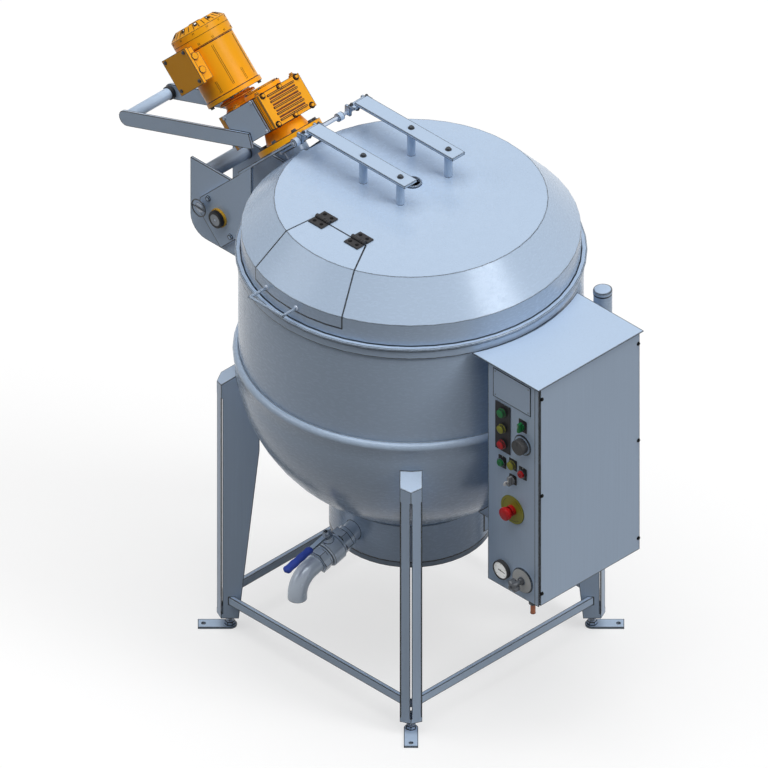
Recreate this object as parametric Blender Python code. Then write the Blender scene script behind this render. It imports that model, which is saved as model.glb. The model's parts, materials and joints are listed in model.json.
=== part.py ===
"""Steam jacketed kettle with an inclined, lift-out scraper mixer.

The kettle axis is Z, the operator's side is -Y, the control box stands on +X and the mixer
lifts out over -X. Every length is in metres and every angle in degrees.
"""
import math

import bmesh
import bpy
from mathutils import Matrix, Vector

# Shared clearances and mesh sizes
FIT = 0.0003
RUN = 0.0005
OVERRUN = 0.010
WELD = 0.0004
BIG_SIDES = 48
MID_SIDES = 28
SMALL_SIDES = 16
HEX_SIDES = 6

# Kettle: inner bowl, wall and rim
BOWL_RADIUS = 0.484
BOWL_WALL = 0.0055
BOWL_CENTRE_Z = 0.981
RIM_Z = 1.292
RIM_HEIGHT = 0.036
RIM_RING_WALL = 0.0045
RIM_BEAD = 0.0055
RIM_BEAD_HEIGHT = 0.009

# Steam jacket
JACKET_RADIUS = 0.497
JACKET_WALL = 0.005
JACKET_CENTRE_Z = 0.951
JACKET_MOUTH_RADIUS = 0.200
BAND_RADIUS = 0.0158

# Steam sump under the jacket, with its heater
SUMP_RADIUS = 0.230
SUMP_WALL = 0.004
SUMP_BOTTOM_Z = 0.359
HEATER_PLATE = 0.017
HEATER_ROD_RADIUS = 0.008
HEATER_RISE = 0.034
HEATER_HALF_LENGTH = 0.110
HEATER_SPACING = 0.075
TERMINAL_COVER_LEFT = 0.060
TERMINAL_COVER_RIGHT = 0.220
TERMINAL_COVER_BACK = 0.250
TERMINAL_COVER_LOW_Z = 0.395
TERMINAL_COVER_HIGH_Z = 0.462

# Legs: tapered folded columns on the diagonals
LEG_RIDGE_RADIUS = 0.544
LEG_CORNER_RADIUS = 0.532
LEG_HALF_WIDTH = 0.0315
LEG_SHEET = 0.003
LEG_BOTTOM_Z = 0.044
LEG_RIDGE_TOP_Z = 0.836
LEG_CAP_SLOPE = 35.5
LEG_FOOT_INNER_RADIUS = 0.482
LEG_HEAD_INNER_RADIUS = 0.424
LEG_TAPER_TOP_Z = 0.620
LEG_SLOT_WIDTH = 0.004
LEG_SLOT_LOW_Z = 0.060
LEG_SLOT_HIGH_Z = 0.797

# Rail frame round the feet of the legs
RAIL_OUTER = 0.3825
RAIL_WIDTH = 0.0124
RAIL_HEIGHT = 0.026
RAIL_TOP_Z = 0.117
RAIL_CORNER_RADIUS = 0.5285

# Levelling feet with floor plates
FOOT_STUD_CENTRE = 0.507
FOOT_PLATE = 0.006
FOOT_PLATE_HALF_WIDTH = 0.020
FOOT_PLATE_END = 0.597
FOOT_HOLE_CENTRE = 0.581
FOOT_HOLE_RADIUS = 0.005
FOOT_STUD_RADIUS = 0.006
FOOT_STUD_TOP_Z = 0.060
FOOT_NUT_RADIUS = 0.0145
FOOT_NUT_HEIGHT = 0.011

# Drain: inclined pipe, ball valve and elbow, in the plane X = 0
DRAIN_AXIS_Z = 0.502
DRAIN_SLOPE = 15.0
DRAIN_PIPE_RADIUS = 0.0285
DRAIN_BORE_RADIUS = 0.024
DRAIN_START = -0.036
DRAIN_BORE_START = -0.024
DRAIN_PIPE_LENGTH = 0.260
DRAIN_RING_LENGTH = 0.013
DRAIN_RING_RADIUS = 0.0325
VALVE_NUT_RADIUS = 0.039
VALVE_NUT_LENGTH = 0.024
VALVE_GROOVE_RADIUS = 0.034
VALVE_GROOVE_LENGTH = 0.008
VALVE_BODY_RADIUS = 0.0415
VALVE_BODY_LENGTH = 0.048
BALL_RADIUS = 0.031
STEM_RADIUS = 0.007
STEM_HEIGHT = 0.070
STEM_BOSS_RADIUS = 0.016
STEM_BOSS_HEIGHT = 0.058
LEVER_LENGTH = 0.100
LEVER_HALF_WIDTH = 0.009
LEVER_THICKNESS = 0.005
GRIP_START = 0.066
GRIP_END = 0.172
GRIP_HALF_WIDTH = 0.0125
GRIP_HALF_HEIGHT = 0.008
ELBOW_RADIUS = 0.0275
ELBOW_BEND_RADIUS = 0.065
ELBOW_SOCKET_LENGTH = 0.030
ELBOW_OUTLET_LENGTH = 0.014
ELBOW_STEPS = 8

# Vent standpipe behind the control box
STANDPIPE_CENTRE = 0.537
STANDPIPE_RADIUS = 0.0265
STANDPIPE_TOP_Z = 1.151
STANDPIPE_LOW_Z = 0.925
NIPPLE_RADIUS = 0.0135
NIPPLE_Z = 0.990

# Control box
BOX_INNER_X = 0.505
BOX_OUTER_X = 0.705
BOX_HALF_WIDTH = 0.200
BOX_LOW_Z = 0.513
BOX_HIGH_Z = 1.258
BOX_SHEET = 0.003
BOX_SLOT = 0.005
BOX_TOP_OVERHANG = 0.008
BOX_TOP_ARC_RADIUS = 0.4955
BOX_ARM_HALF_WIDTH = 0.060
BOX_ARM_HEIGHT = 0.040
BOX_UPPER_ARM_Z = 1.180
BOX_LOWER_ARM_Z = 0.600
INLET_PIPE_RADIUS = 0.0075
INLET_PIPE_X = 0.670
INLET_PIPE_Y = -0.187
INLET_PIPE_END_Z = 0.470

# Controls on the box's front, as places on the panel (X, Z)
LAMP_PLATE_LOW = (0.536, 0.980)
LAMP_PLATE_HIGH = (0.594, 1.140)
PANEL_PLATE = 0.0025
LAMP_X = 0.567
LAMP_MIDDLE_Z = 1.060
LAMP_SPACING = 0.054
LAMP_RADIUS = 0.0145
LAMP_DEPTH = 0.015
INDICATOR_PLACE = (0.604, 0.952)
START_PLACE = (0.562, 0.941)
STOP_PLACE = (0.643, 0.941)
SELECTOR_PLACE = (0.643, 1.103)
KEY_PLACE = (0.604, 0.901)
DIAL_PLACE = (0.643, 1.038)
ESTOP_PLACE = (0.603, 0.797)
GAUGE_PLACE = (0.564, 0.574)
TAP_PLACE = (0.643, 0.574)
BUTTON_RADIUS = 0.0105
BUTTON_DEPTH = 0.009
BUTTON_TRAVEL = 0.004
BEZEL_WIDTH = 0.004
BEZEL_DEPTH = 0.007
SELECTOR_RADIUS = 0.0115
SELECTOR_DEPTH = 0.010
SELECTOR_BAR_HALF_WIDTH = 0.004
SELECTOR_BAR_DEPTH = 0.010
DIAL_RADIUS = 0.0235
DIAL_DEPTH = 0.020
DIAL_RING_RADIUS = 0.031
DIAL_RING_DEPTH = 0.003
ESTOP_PLATE_RADIUS = 0.045
ESTOP_NECK_RADIUS = 0.015
ESTOP_NECK_DEPTH = 0.014
ESTOP_HEAD_RADIUS = 0.020
ESTOP_DEPTH = 0.040
ESTOP_TRAVEL = 0.006
ESTOP_SHANK_RADIUS = 0.009
GAUGE_RADIUS = 0.029
GAUGE_DEPTH = 0.012
GAUGE_LIP = 0.003
TAP_DISC_RADIUS = 0.038
TAP_DISC_DEPTH = 0.004
TAP_HUB_RADIUS = 0.011
TAP_KNOB_RADIUS = 0.019
TAP_DEPTH = 0.047
TAP_KNOB_DEPTH = 0.024
TAP_LOBES = 4

# Mixer drive: the axis leans at this angle through a point on the kettle axis
DRIVE_LEAN = 45.0
FLANGE_X = -0.477
FLANGE_Z = 1.428
FLANGE_RADIUS = 0.100
FLANGE_UNDER = 0.0067
FLANGE_TOP = 0.012
NECK_RADIUS = 0.058
NECK_TOP = 0.045
CASE_TOP = 0.150
CASE_OUTPUT_END = 0.073
CASE_MOTOR_END = 0.167
CASE_HALF_WIDTH = 0.080
CASE_MOTOR_HALF_WIDTH = 0.060
CASE_STEP = 0.060
REAR_BOSS_RADIUS = 0.0565
REAR_BOSS_DEPTH = 0.015
COVER_PLATE = 0.005
COVER_RIB = 0.004
COVER_RIB_COUNT = 5
COVER_MARGIN = 0.014
COVER_BOLT_RADIUS = 0.0065
COVER_BOLT_HEIGHT = 0.006
CENTRE_DISTANCE = 0.123
ADAPTER_RADIUS = 0.044
ADAPTER_LENGTH = 0.035
SHIELD_RADIUS = 0.086
SHIELD_LENGTH = 0.015
MOTOR_RADIUS = 0.082
MOTOR_FIN_DEPTH = 0.005
MOTOR_FIN_WIDTH = 0.004
MOTOR_FIN_COUNT = 18
MOTOR_LENGTH = 0.157
COWL_RADIUS = 0.086
COWL_LAP = 0.010
COWL_SHEET = 0.0025
COWL_LENGTH = 0.040
COWL_CONE_LENGTH = 0.020
COWL_END_RADIUS = 0.061
COWL_SLOT_COUNT = 10
COWL_SLOT_WIDTH = 0.008
COWL_SLOT_INNER = 0.022
FAN_RADIUS = 0.068
FAN_HUB_RADIUS = 0.018
FAN_GAP = 0.005
FAN_WIDTH = 0.026
FAN_BLADE = 0.003
FAN_BLADE_COUNT = 6
FAN_SHAFT_RADIUS = 0.008
FAN_SHAFT_DEPTH = 0.020
TERMINAL_REACH = 0.119
TERMINAL_HALF_LENGTH = 0.059
TERMINAL_LOW = 0.259
TERMINAL_HIGH = 0.368
TERMINAL_LID = 0.010
TERMINAL_LIP = 0.004
PLUG_RADIUS = 0.011
PLUG_HEIGHT = 0.006

# Swing frame that carries the drive, and its bracket on the kettle wall
PIVOT_X = -0.662
PIVOT_Z = 1.114
PIVOT_RADIUS = 0.0125
PIVOT_KNOB_RADIUS = 0.026
PIVOT_KNOB_DEPTH = 0.018
PIVOT_NUT_RADIUS = 0.017
PIVOT_NUT_DEPTH = 0.012
BRACKET_OUTER_X = -0.786
BRACKET_LOW_Z = 1.004
BRACKET_HIGH_Z = 1.255
BRACKET_OUTER_Y = 0.0875
BRACKET_PLATE = 0.008
BRACKET_CORNER = 0.060
BRACKET_PAD = 0.005
BRACKET_TUBE_RADIUS = 0.024
BRACKET_TUBE_X = -0.735
BRACKET_TUBE_Z = 1.219
SWING_PLATE = 0.008
SWING_LEFT = 0.422
SWING_BOTTOM = 0.167
SWING_CUT_X = -0.740
SWING_RIGHT_X = -0.537
BASE_PLATE = 0.008
BASE_PLATE_START = 0.168
BASE_PLATE_END = 0.104
SWING_BOLT_RADIUS = 0.008
SWING_BOLT_HEIGHT = 0.006
SWING_BOLT_REACH = 0.062
LOCK_PIN_RADIUS = 0.005
LOCK_PIN_X = -0.726
LOCK_PIN_Z = 1.124
LOCK_PIN_GRIP_RADIUS = 0.016
LOCK_PIN_GRIP_DEPTH = 0.007
LOCK_PIN_STANDOFF = 0.010
SEAL_RADIUS = 0.035
SEAL_COLLAR_RADIUS = 0.046
SEAL_COLLAR = 0.010
SEAL_DEPTH = 0.080
SIDE_PLATE_START = 0.109
SIDE_PLATE_END = 0.051
ARM_PLATE = 0.008
ARM_HALF_WIDTH = 0.0235
ARM_ROOT_X = -0.541
ARM_ROOT_Z = 1.434
ARM_TIP_X = -1.037
ARM_TIP_Z = 1.266
HANDLE_TUBE_RADIUS = 0.017

# Mixer tool
SHAFT_RADIUS = 0.020
SHAFT_TOP = 0.100
SCRAPER_GAP = 0.014
SCRAPER_DEPTH = 0.015
SCRAPER_HALF_WIDTH = 0.005
TOOL_BAR_DEPTH = 0.030
TOOL_HALF_WIDTH = 0.006
TOOL_HUB_RADIUS = 0.032
TOOL_HUB_HALF_HEIGHT = 0.028
TOOL_STEPS = 20
SCRAPER_STEPS = 18

# Lid, its carrying arms and the hatch
LID_SKIRT_RADIUS = 0.477
LID_SKIRT_TOP_Z = 1.362
LID_TOP_RADIUS = 0.384
LID_TOP_Z = 1.4636
LID_SHEET = 0.003
LID_NOTCH_HALF_WIDTH = 0.043
LID_NOTCH_INNER_X = -0.372
VENT_RADIUS = 0.0255
VENT_WALL = 0.004
VENT_HEIGHT = 0.006
VENT_X = -0.048
VENT_Y = 0.054
HATCH_HINGE_Y = -0.252
HATCH_HINGE_LEFT = -0.125
HATCH_HINGE_RIGHT = 0.074
HATCH_SHOULDER_LEFT = (-0.135, -0.358)
HATCH_SHOULDER_RIGHT = (0.134, -0.356)
HATCH_EDGE_X = 0.172
HATCH_EDGE_Y = -0.446
HATCH_LOW_Z = 1.322
HATCH_GAP = 0.0012
HATCH_AXIS_RISE = 0.0055
HINGE_X = (-0.096, 0.045)
HINGE_HALF_WIDTH = 0.025
HINGE_LEAF = 0.0045
HINGE_LEAF_DEPTH = 0.022
KNUCKLE_RADIUS = 0.0055
KNUCKLE_SHARE = 0.3
HATCH_HANDLE_RADIUS = 0.0045
HATCH_HANDLE_HALF_LENGTH = 0.069
HATCH_HANDLE_REACH = 0.058
HATCH_HANDLE_Z = 1.335
HATCH_HANDLE_X = -0.043
LID_BAR_HALF_WIDTH = 0.025
LID_BAR_THICKNESS = 0.009
LID_BAR_TOP_Z = 1.553
LID_BAR_START_X = -0.362
LID_BAR_END_X = 0.038
LID_BAR_Y = (-0.039, 0.151)
LID_POST_X = (-0.150, -0.003)
LID_POST_RADIUS = 0.012
LID_BOLT_RADIUS = 0.0085
LID_BOLT_HEIGHT = 0.006
LID_ROD_X = -0.370
LID_ROD_Z = 1.514
LID_ROD_RADIUS = 0.0053
LID_ROD_END = 0.196
KNUCKLE_BLOCK_HALF_LENGTH = 0.036
KNUCKLE_BLOCK_HALF_WIDTH = 0.017
ROD_LUG_RADIUS = 0.0125
ROD_LUG_WIDTH = 0.018
ROD_LUG_GAP = 0.002

# Sizes worked out from the ones above
WALL_INNER_RADIUS = BOWL_RADIUS - BOWL_WALL
LEAN = math.radians(DRIVE_LEAN)
DRIVE = Matrix.Translation((FLANGE_X, 0, FLANGE_Z)) @ Matrix.Rotation(-LEAN, 4, "Y")
PANEL_Y = -BOX_HALF_WIDTH
SWING_INNER_Y = BRACKET_OUTER_Y + RUN
SWING_OUTER_Y = SWING_INNER_Y + SWING_PLATE
BASE_TOP = -FLANGE_UNDER - FIT
BASE_LOW = BASE_TOP - BASE_PLATE
DRAIN_DIRECTION = Vector((0, -math.cos(math.radians(DRAIN_SLOPE)), -math.sin(math.radians(DRAIN_SLOPE))))
DRAIN_UP = Vector((0, -math.sin(math.radians(DRAIN_SLOPE)), math.cos(math.radians(DRAIN_SLOPE))))
DRAIN_ORIGIN = Vector((0, 0, DRAIN_AXIS_Z))
DRAIN = Matrix.Translation(DRAIN_ORIGIN) @ DRAIN_DIRECTION.to_track_quat("Z", "Y").to_matrix().to_4x4()


def material(name, colour, roughness, metallic):
    """A plain Principled material."""
    made = bpy.data.materials.new(name)
    made.use_nodes = True
    shader = made.node_tree.nodes["Principled BSDF"]
    shader.inputs["Base Color"].default_value = (*colour, 1.0)
    shader.inputs["Roughness"].default_value = roughness
    shader.inputs["Metallic"].default_value = metallic
    made.diffuse_color = (*colour, 1.0)
    return made


def solid(bm):
    """Turn a bmesh into a loose object that later steps combine or name."""
    bmesh.ops.recalc_face_normals(bm, faces=bm.faces)
    mesh = bpy.data.meshes.new("solid")
    bm.to_mesh(mesh)
    bm.free()
    made = bpy.data.objects.new("solid", mesh)
    bpy.context.collection.objects.link(made)
    return made


def block(low, high):
    """A box between two corners."""
    bm = bmesh.new()
    bmesh.ops.create_cube(bm, size=1)
    for vert in bm.verts:
        vert.co = Vector(low[i] if vert.co[i] < 0 else high[i] for i in range(3))
    return solid(bm)


def prism(outline, low, high, axis="Z"):
    """An outline drawn square to one axis and drawn out along it."""
    places = {"X": lambda a, b, c: (c, a, b), "Y": lambda a, b, c: (a, c, b), "Z": lambda a, b, c: (a, b, c)}
    bm = bmesh.new()
    start = [bm.verts.new(places[axis](a, b, low)) for a, b in outline]
    end = [bm.verts.new(places[axis](a, b, high)) for a, b in outline]
    bm.faces.new(start)
    bm.faces.new(end)
    count = len(outline)
    for i in range(count):
        j = (i + 1) % count
        bm.faces.new((start[i], start[j], end[j], end[i]))
    return solid(bm)


def turned(profile, sides, phase=0.0):
    """A closed profile of (radius, height) points spun round Z."""
    bm = bmesh.new()
    rings = []
    for radius, height in profile:
        if radius == 0:
            rings.append([bm.verts.new((0, 0, height))])
            continue
        angles = [phase + math.tau * k / sides for k in range(sides)]
        rings.append([bm.verts.new((radius * math.cos(a), radius * math.sin(a), height)) for a in angles])
    for i, ring in enumerate(rings):
        after = rings[(i + 1) % len(rings)]
        if len(ring) == 1 and len(after) == 1:
            continue
        for k in range(sides):
            n = (k + 1) % sides
            corners = [ring[k % len(ring)], ring[n % len(ring)], after[n % len(after)], after[k % len(after)]]
            unique = list(dict.fromkeys(corners))
            bm.faces.new(unique)
    return solid(bm)


def cylinder(radius, low, high, sides=SMALL_SIDES, phase=0.0):
    """A solid cylinder on Z."""
    return turned([(0, low), (radius, low), (radius, high), (0, high)], sides, phase)


def moved(made, matrix):
    """Move a loose solid's mesh by a matrix."""
    made.data.transform(matrix)
    if matrix.determinant() < 0:
        made.data.flip_normals()
    return made


def rod(radius, start, end, sides=SMALL_SIDES, phase=0.0):
    """A cylinder between two points."""
    start, end = Vector(start), Vector(end)
    turn = (end - start).to_track_quat("Z", "Y").to_matrix().to_4x4()
    made = cylinder(radius, 0, (end - start).length, sides, phase)
    return moved(made, Matrix.Translation(start) @ turn)


def across(radius, x, z, y_low, y_high, sides=SMALL_SIDES, phase=0.0):
    """A cylinder along Y at a place in the X-Z plane."""
    return rod(radius, (x, y_low, z), (x, y_high, z), sides, phase)


def combine(base, others, operation):
    """Apply one exact Boolean of each other solid to the base, and use the others up."""
    for other in others:
        step = base.modifiers.new("step", "BOOLEAN")
        step.object = other
        step.operation = operation
        step.solver = "EXACT"
    graph = bpy.context.evaluated_depsgraph_get()
    mesh = bpy.data.meshes.new_from_object(base.evaluated_get(graph))
    base.modifiers.clear()
    base.data = mesh
    for other in others:
        bpy.data.objects.remove(other)
    return base


def join(base, *others):
    return combine(base, others, "UNION")


def cut(base, *others):
    return combine(base, others, "DIFFERENCE")


def common(base, *others):
    return combine(base, others, "INTERSECT")


def arc(centre_a, centre_b, radius, start, end, steps):
    """Points along an arc, angles in degrees, both ends included."""
    angles = [math.radians(start + (end - start) * k / steps) for k in range(steps + 1)]
    return [(centre_a + radius * math.cos(a), centre_b + radius * math.sin(a)) for a in angles]


def piece(made, name, look, parent, origin=(0, 0, 0)):
    """Name a finished solid, give it its origin and hang it under its parent empty."""
    origin = Vector(origin)
    weld_mesh(made.data)
    made.data.transform(Matrix.Translation(-origin))
    made.data.materials.clear()
    made.data.materials.append(look)
    made.data.shade_smooth()
    made.data.set_sharp_from_angle(angle=math.radians(35))
    made.name = name
    made.data.name = name
    made.parent = parent
    made.location = origin - parent_place(parent)
    return made


def parent_place(parent):
    """The world place of an empty that is moved but never turned."""
    place = Vector((0, 0, 0))
    while parent is not None:
        place += parent.location
        parent = parent.parent
    return place


def weld_mesh(mesh):
    """Merge the doubled points that a Boolean can leave behind."""
    bm = bmesh.new()
    bm.from_mesh(mesh)
    bmesh.ops.remove_doubles(bm, verts=bm.verts, dist=WELD / 200)
    bmesh.ops.recalc_face_normals(bm, faces=bm.faces)
    bm.to_mesh(mesh)
    bm.free()


def empty(name, place, parent=None):
    made = bpy.data.objects.new(name, None)
    bpy.context.collection.objects.link(made)
    made.parent = parent
    made.location = Vector(place) - parent_place(parent)
    return made


def bowl_arc(radius, centre_z, start, end, steps):
    """The half profile of a bowl, from an angle below the equator up to another."""
    return arc(0, centre_z, radius, start, end, steps)


def angle_at(radius, across_radius):
    """The angle below the equator where a sphere's profile reaches a radius."""
    return -math.degrees(math.acos(across_radius / radius))


def jacket_profile(radius):
    """The jacket's outer ball, filled, for cutting what seats on it."""
    points = bowl_arc(radius, JACKET_CENTRE_Z, angle_at(JACKET_RADIUS, JACKET_MOUTH_RADIUS), 0, 11)
    return [(0, points[0][1])] + points + [(0, JACKET_CENTRE_Z)]


def bowl_cutter(gap):
    """The bowl's outer ball, filled, larger by a gap."""
    points = bowl_arc(BOWL_RADIUS + gap, BOWL_CENTRE_Z, -90, 0, 12)
    return turned([(0, points[0][1])] + points[1:] + [(0, BOWL_CENTRE_Z)], BIG_SIDES)


def drain_rod(radius, start, end, sides=MID_SIDES, phase=0.0):
    """A cylinder on the drain's axis between two distances from the kettle axis."""
    return moved(cylinder(radius, start, end, sides, phase), DRAIN)


def kettle_bowl(look, root):
    outer = bowl_arc(BOWL_RADIUS, BOWL_CENTRE_Z, -90, 0, 12)
    inner = bowl_arc(WALL_INNER_RADIUS, BOWL_CENTRE_Z, 0, -90, 12)
    rim_low = RIM_Z - RIM_HEIGHT
    ring_radius = BOWL_RADIUS + RIM_RING_WALL
    bead_low = RIM_Z - RIM_BEAD_HEIGHT
    rim = [
        (BOWL_RADIUS, rim_low), (ring_radius, rim_low), (ring_radius, bead_low - RIM_BEAD / 2),
        (ring_radius + RIM_BEAD / 2, bead_low), (ring_radius + RIM_BEAD, bead_low + RIM_BEAD / 2),
        (ring_radius + RIM_BEAD, RIM_Z - RIM_BEAD / 2), (ring_radius + RIM_BEAD / 2, RIM_Z),
        (WALL_INNER_RADIUS, RIM_Z),
    ]
    made = turned([(0, outer[0][1])] + outer[1:] + rim + inner[:-1] + [(0, inner[-1][1])], BIG_SIDES)
    made = cut(made, drain_rod(DRAIN_BORE_RADIUS, DRAIN_BORE_START, SUMP_RADIUS / 2))
    return piece(made, "kettle_bowl", look, root)


def jacket_shell(look, root):
    start = angle_at(JACKET_RADIUS, JACKET_MOUTH_RADIUS)
    inner_radius = JACKET_RADIUS - JACKET_WALL
    seat = BOWL_RADIUS + FIT
    meet = math.degrees(math.acos((JACKET_RADIUS - seat) / BAND_RADIUS))
    outer = bowl_arc(JACKET_RADIUS, JACKET_CENTRE_Z, start, 0, 11)[:-1]
    band = arc(seat, JACKET_CENTRE_Z, BAND_RADIUS, -meet, 90, 7)
    seat_low = JACKET_CENTRE_Z - BAND_RADIUS / 2
    inner_meet = -math.degrees(math.asin((BAND_RADIUS / 2 + JACKET_WALL) / inner_radius))
    inner = bowl_arc(inner_radius, JACKET_CENTRE_Z, inner_meet, angle_at(inner_radius, JACKET_MOUTH_RADIUS), 11)
    made = turned(outer + band + [(seat, seat_low)] + inner, BIG_SIDES)
    return piece(made, "jacket_shell", look, root)


def sump_pieces(steel, dark, root):
    top = JACKET_CENTRE_Z - math.sqrt(JACKET_RADIUS ** 2 - SUMP_RADIUS ** 2) + OVERRUN
    low = SUMP_BOTTOM_Z + HEATER_PLATE + FIT
    inner = SUMP_RADIUS - SUMP_WALL
    wall = turned([(inner, low), (SUMP_RADIUS, low), (SUMP_RADIUS, top), (inner, top)], BIG_SIDES)
    ball = turned(jacket_profile(JACKET_RADIUS + FIT), BIG_SIDES)
    pipe = drain_rod(DRAIN_PIPE_RADIUS + FIT, SUMP_RADIUS / 2, SUMP_RADIUS + SUMP_RADIUS / 2)
    piece(cut(wall, ball, pipe), "steam_sump", steel, root)

    plate_top = SUMP_BOTTOM_Z + HEATER_PLATE
    plate = cylinder(SUMP_RADIUS, SUMP_BOTTOM_Z, plate_top, BIG_SIDES)
    rods = []
    for k in (-1, 0, 1):
        x = k * HEATER_SPACING
        z = plate_top + HEATER_RISE
        ends = [(x, side * HEATER_HALF_LENGTH) for side in (-1, 1)]
        for end_x, end_y in ends:
            rods.append(cylinder_at(HEATER_ROD_RADIUS, end_x, end_y, plate_top - WELD, z, 8))
        reach = HEATER_HALF_LENGTH + HEATER_ROD_RADIUS / 2
        rods.append(rod(HEATER_ROD_RADIUS * 0.96, (x, -reach, z), (x, reach, z), 8))
    piece(join(plate, *rods), "heater_flange", dark, root)

    cover = block(
        (TERMINAL_COVER_LEFT, 0, TERMINAL_COVER_LOW_Z),
        (TERMINAL_COVER_RIGHT, TERMINAL_COVER_BACK, TERMINAL_COVER_HIGH_Z),
    )
    core = cylinder(SUMP_RADIUS + FIT, SUMP_BOTTOM_Z, TERMINAL_COVER_HIGH_Z + OVERRUN, BIG_SIDES)
    piece(cut(cover, core), "terminal_cover", steel, root)


def cylinder_at(radius, x, y, low, high, sides=SMALL_SIDES, phase=0.0):
    """An upright cylinder at a place on the floor plan."""
    return moved(cylinder(radius, low, high, sides, phase), Matrix.Translation((x, y, 0)))


def leg_form(inset):
    """The leg's filled outline in its own frame, +X outward, drawn in by an inset."""
    inner = LEG_HEAD_INNER_RADIUS - 2 * OVERRUN - inset
    half = LEG_HALF_WIDTH - inset
    corner, ridge = LEG_CORNER_RADIUS - inset, LEG_RIDGE_RADIUS - inset
    low = LEG_BOTTOM_Z + inset
    rise = math.tan(math.radians(LEG_CAP_SLOPE))
    high = LEG_RIDGE_TOP_Z + (ridge - inner) * rise
    column = prism([(inner, -half), (corner, -half), (ridge, 0), (corner, half), (inner, half)], low, high)
    reach = LEG_RIDGE_RADIUS + 2 * OVERRUN
    lift = inset / math.cos(math.radians(LEG_CAP_SLOPE))
    ridge_top = LEG_RIDGE_TOP_Z - lift
    slope = [
        (reach, ridge_top - (reach - LEG_RIDGE_RADIUS) * rise),
        (inner - OVERRUN, ridge_top + (LEG_RIDGE_RADIUS - inner + OVERRUN) * rise),
        (reach, high + (LEG_RIDGE_RADIUS - inner) * rise),
    ]
    return cut(column, prism(slope, -LEG_HALF_WIDTH * 2, LEG_HALF_WIDTH * 2, "Y"))


def rail_frame(grow):
    """The square of rails, larger by a gap for cutting the legs."""
    outer, inner = RAIL_OUTER + grow, RAIL_OUTER - RAIL_WIDTH - grow
    low, high = RAIL_TOP_Z - RAIL_HEIGHT - grow, RAIL_TOP_Z + grow
    frame = prism([(-outer, -outer), (outer, -outer), (outer, outer), (-outer, outer)], low, high)
    hole = prism([(-inner, -inner), (inner, -inner), (inner, inner), (-inner, inner)], low - OVERRUN, high + OVERRUN)
    trim = RAIL_CORNER_RADIUS + grow
    keep = prism(arc(0, 0, trim / math.cos(math.pi / 8), 22.5, 337.5, 7), low - OVERRUN, high + OVERRUN)
    return common(cut(frame, hole), keep)


def legs(steel, root):
    places = {"left": 225, "front": 315, "right": 45, "back": 135}
    for name, angle in places.items():
        turn = Matrix.Rotation(math.radians(angle), 4, "Z")
        shell = cut(leg_form(0), leg_form(LEG_SHEET))
        taper = [
            (0, 0), (LEG_FOOT_INNER_RADIUS, 0), (LEG_FOOT_INNER_RADIUS, LEG_BOTTOM_Z),
            (LEG_HEAD_INNER_RADIUS, LEG_TAPER_TOP_Z), (LEG_HEAD_INNER_RADIUS, LEG_RIDGE_TOP_Z),
            (0, LEG_RIDGE_TOP_Z),
        ]
        wedge = prism(taper, -LEG_HALF_WIDTH * 2, LEG_HALF_WIDTH * 2, "Y")
        half_slot = LEG_SLOT_WIDTH / 2
        slots = [block((LEG_CORNER_RADIUS, -half_slot, LEG_SLOT_LOW_Z),
                       (LEG_RIDGE_RADIUS + OVERRUN, half_slot, LEG_SLOT_HIGH_Z))]
        for side in (-1, 1):
            edges = sorted((side * (LEG_HALF_WIDTH - LEG_SHEET - FIT), side * (LEG_HALF_WIDTH + OVERRUN)))
            slots.append(block((LEG_CORNER_RADIUS - LEG_SLOT_WIDTH, edges[0], LEG_SLOT_LOW_Z),
                               (LEG_CORNER_RADIUS, edges[1], LEG_SLOT_HIGH_Z)))
        stud = cylinder_at(FOOT_STUD_RADIUS + FIT, FOOT_STUD_CENTRE, 0, 0, FOOT_STUD_TOP_Z)
        made = moved(cut(shell, wedge, stud, *slots), turn)
        ball = turned(jacket_profile(JACKET_RADIUS + FIT), BIG_SIDES)
        made = cut(made, rail_frame(FIT), ball)
        piece(made, f"leg_{name}", steel, root)
        piece(moved(foot(), turn), f"foot_{name}", steel, root)
    piece(rail_frame(0), "base_rails", steel, root)


def foot():
    """One floor plate with its threaded stud and nuts, in the leg's frame."""
    half = FOOT_PLATE_HALF_WIDTH
    outline = arc(FOOT_STUD_CENTRE, 0, half, 270, 90, 10) + [(FOOT_PLATE_END, half), (FOOT_PLATE_END, -half)]
    plate = prism(outline, 0, FOOT_PLATE)
    plate = cut(plate, cylinder_at(FOOT_HOLE_RADIUS, FOOT_HOLE_CENTRE, 0, -OVERRUN, OVERRUN, 12))
    nut_top = LEG_BOTTOM_Z - FIT
    turned_parts = [
        cylinder_at(FOOT_STUD_RADIUS, FOOT_STUD_CENTRE, 0, FOOT_PLATE / 2, FOOT_STUD_TOP_Z, 12, math.pi / 17),
        cylinder_at(FOOT_NUT_RADIUS, FOOT_STUD_CENTRE, 0, FOOT_PLATE - WELD, FOOT_PLATE + FOOT_NUT_HEIGHT, 6),
        cylinder_at(FOOT_NUT_RADIUS, FOOT_STUD_CENTRE, 0, nut_top - FOOT_NUT_HEIGHT, nut_top, 6),
    ]
    return join(plate, *turned_parts)


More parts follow.
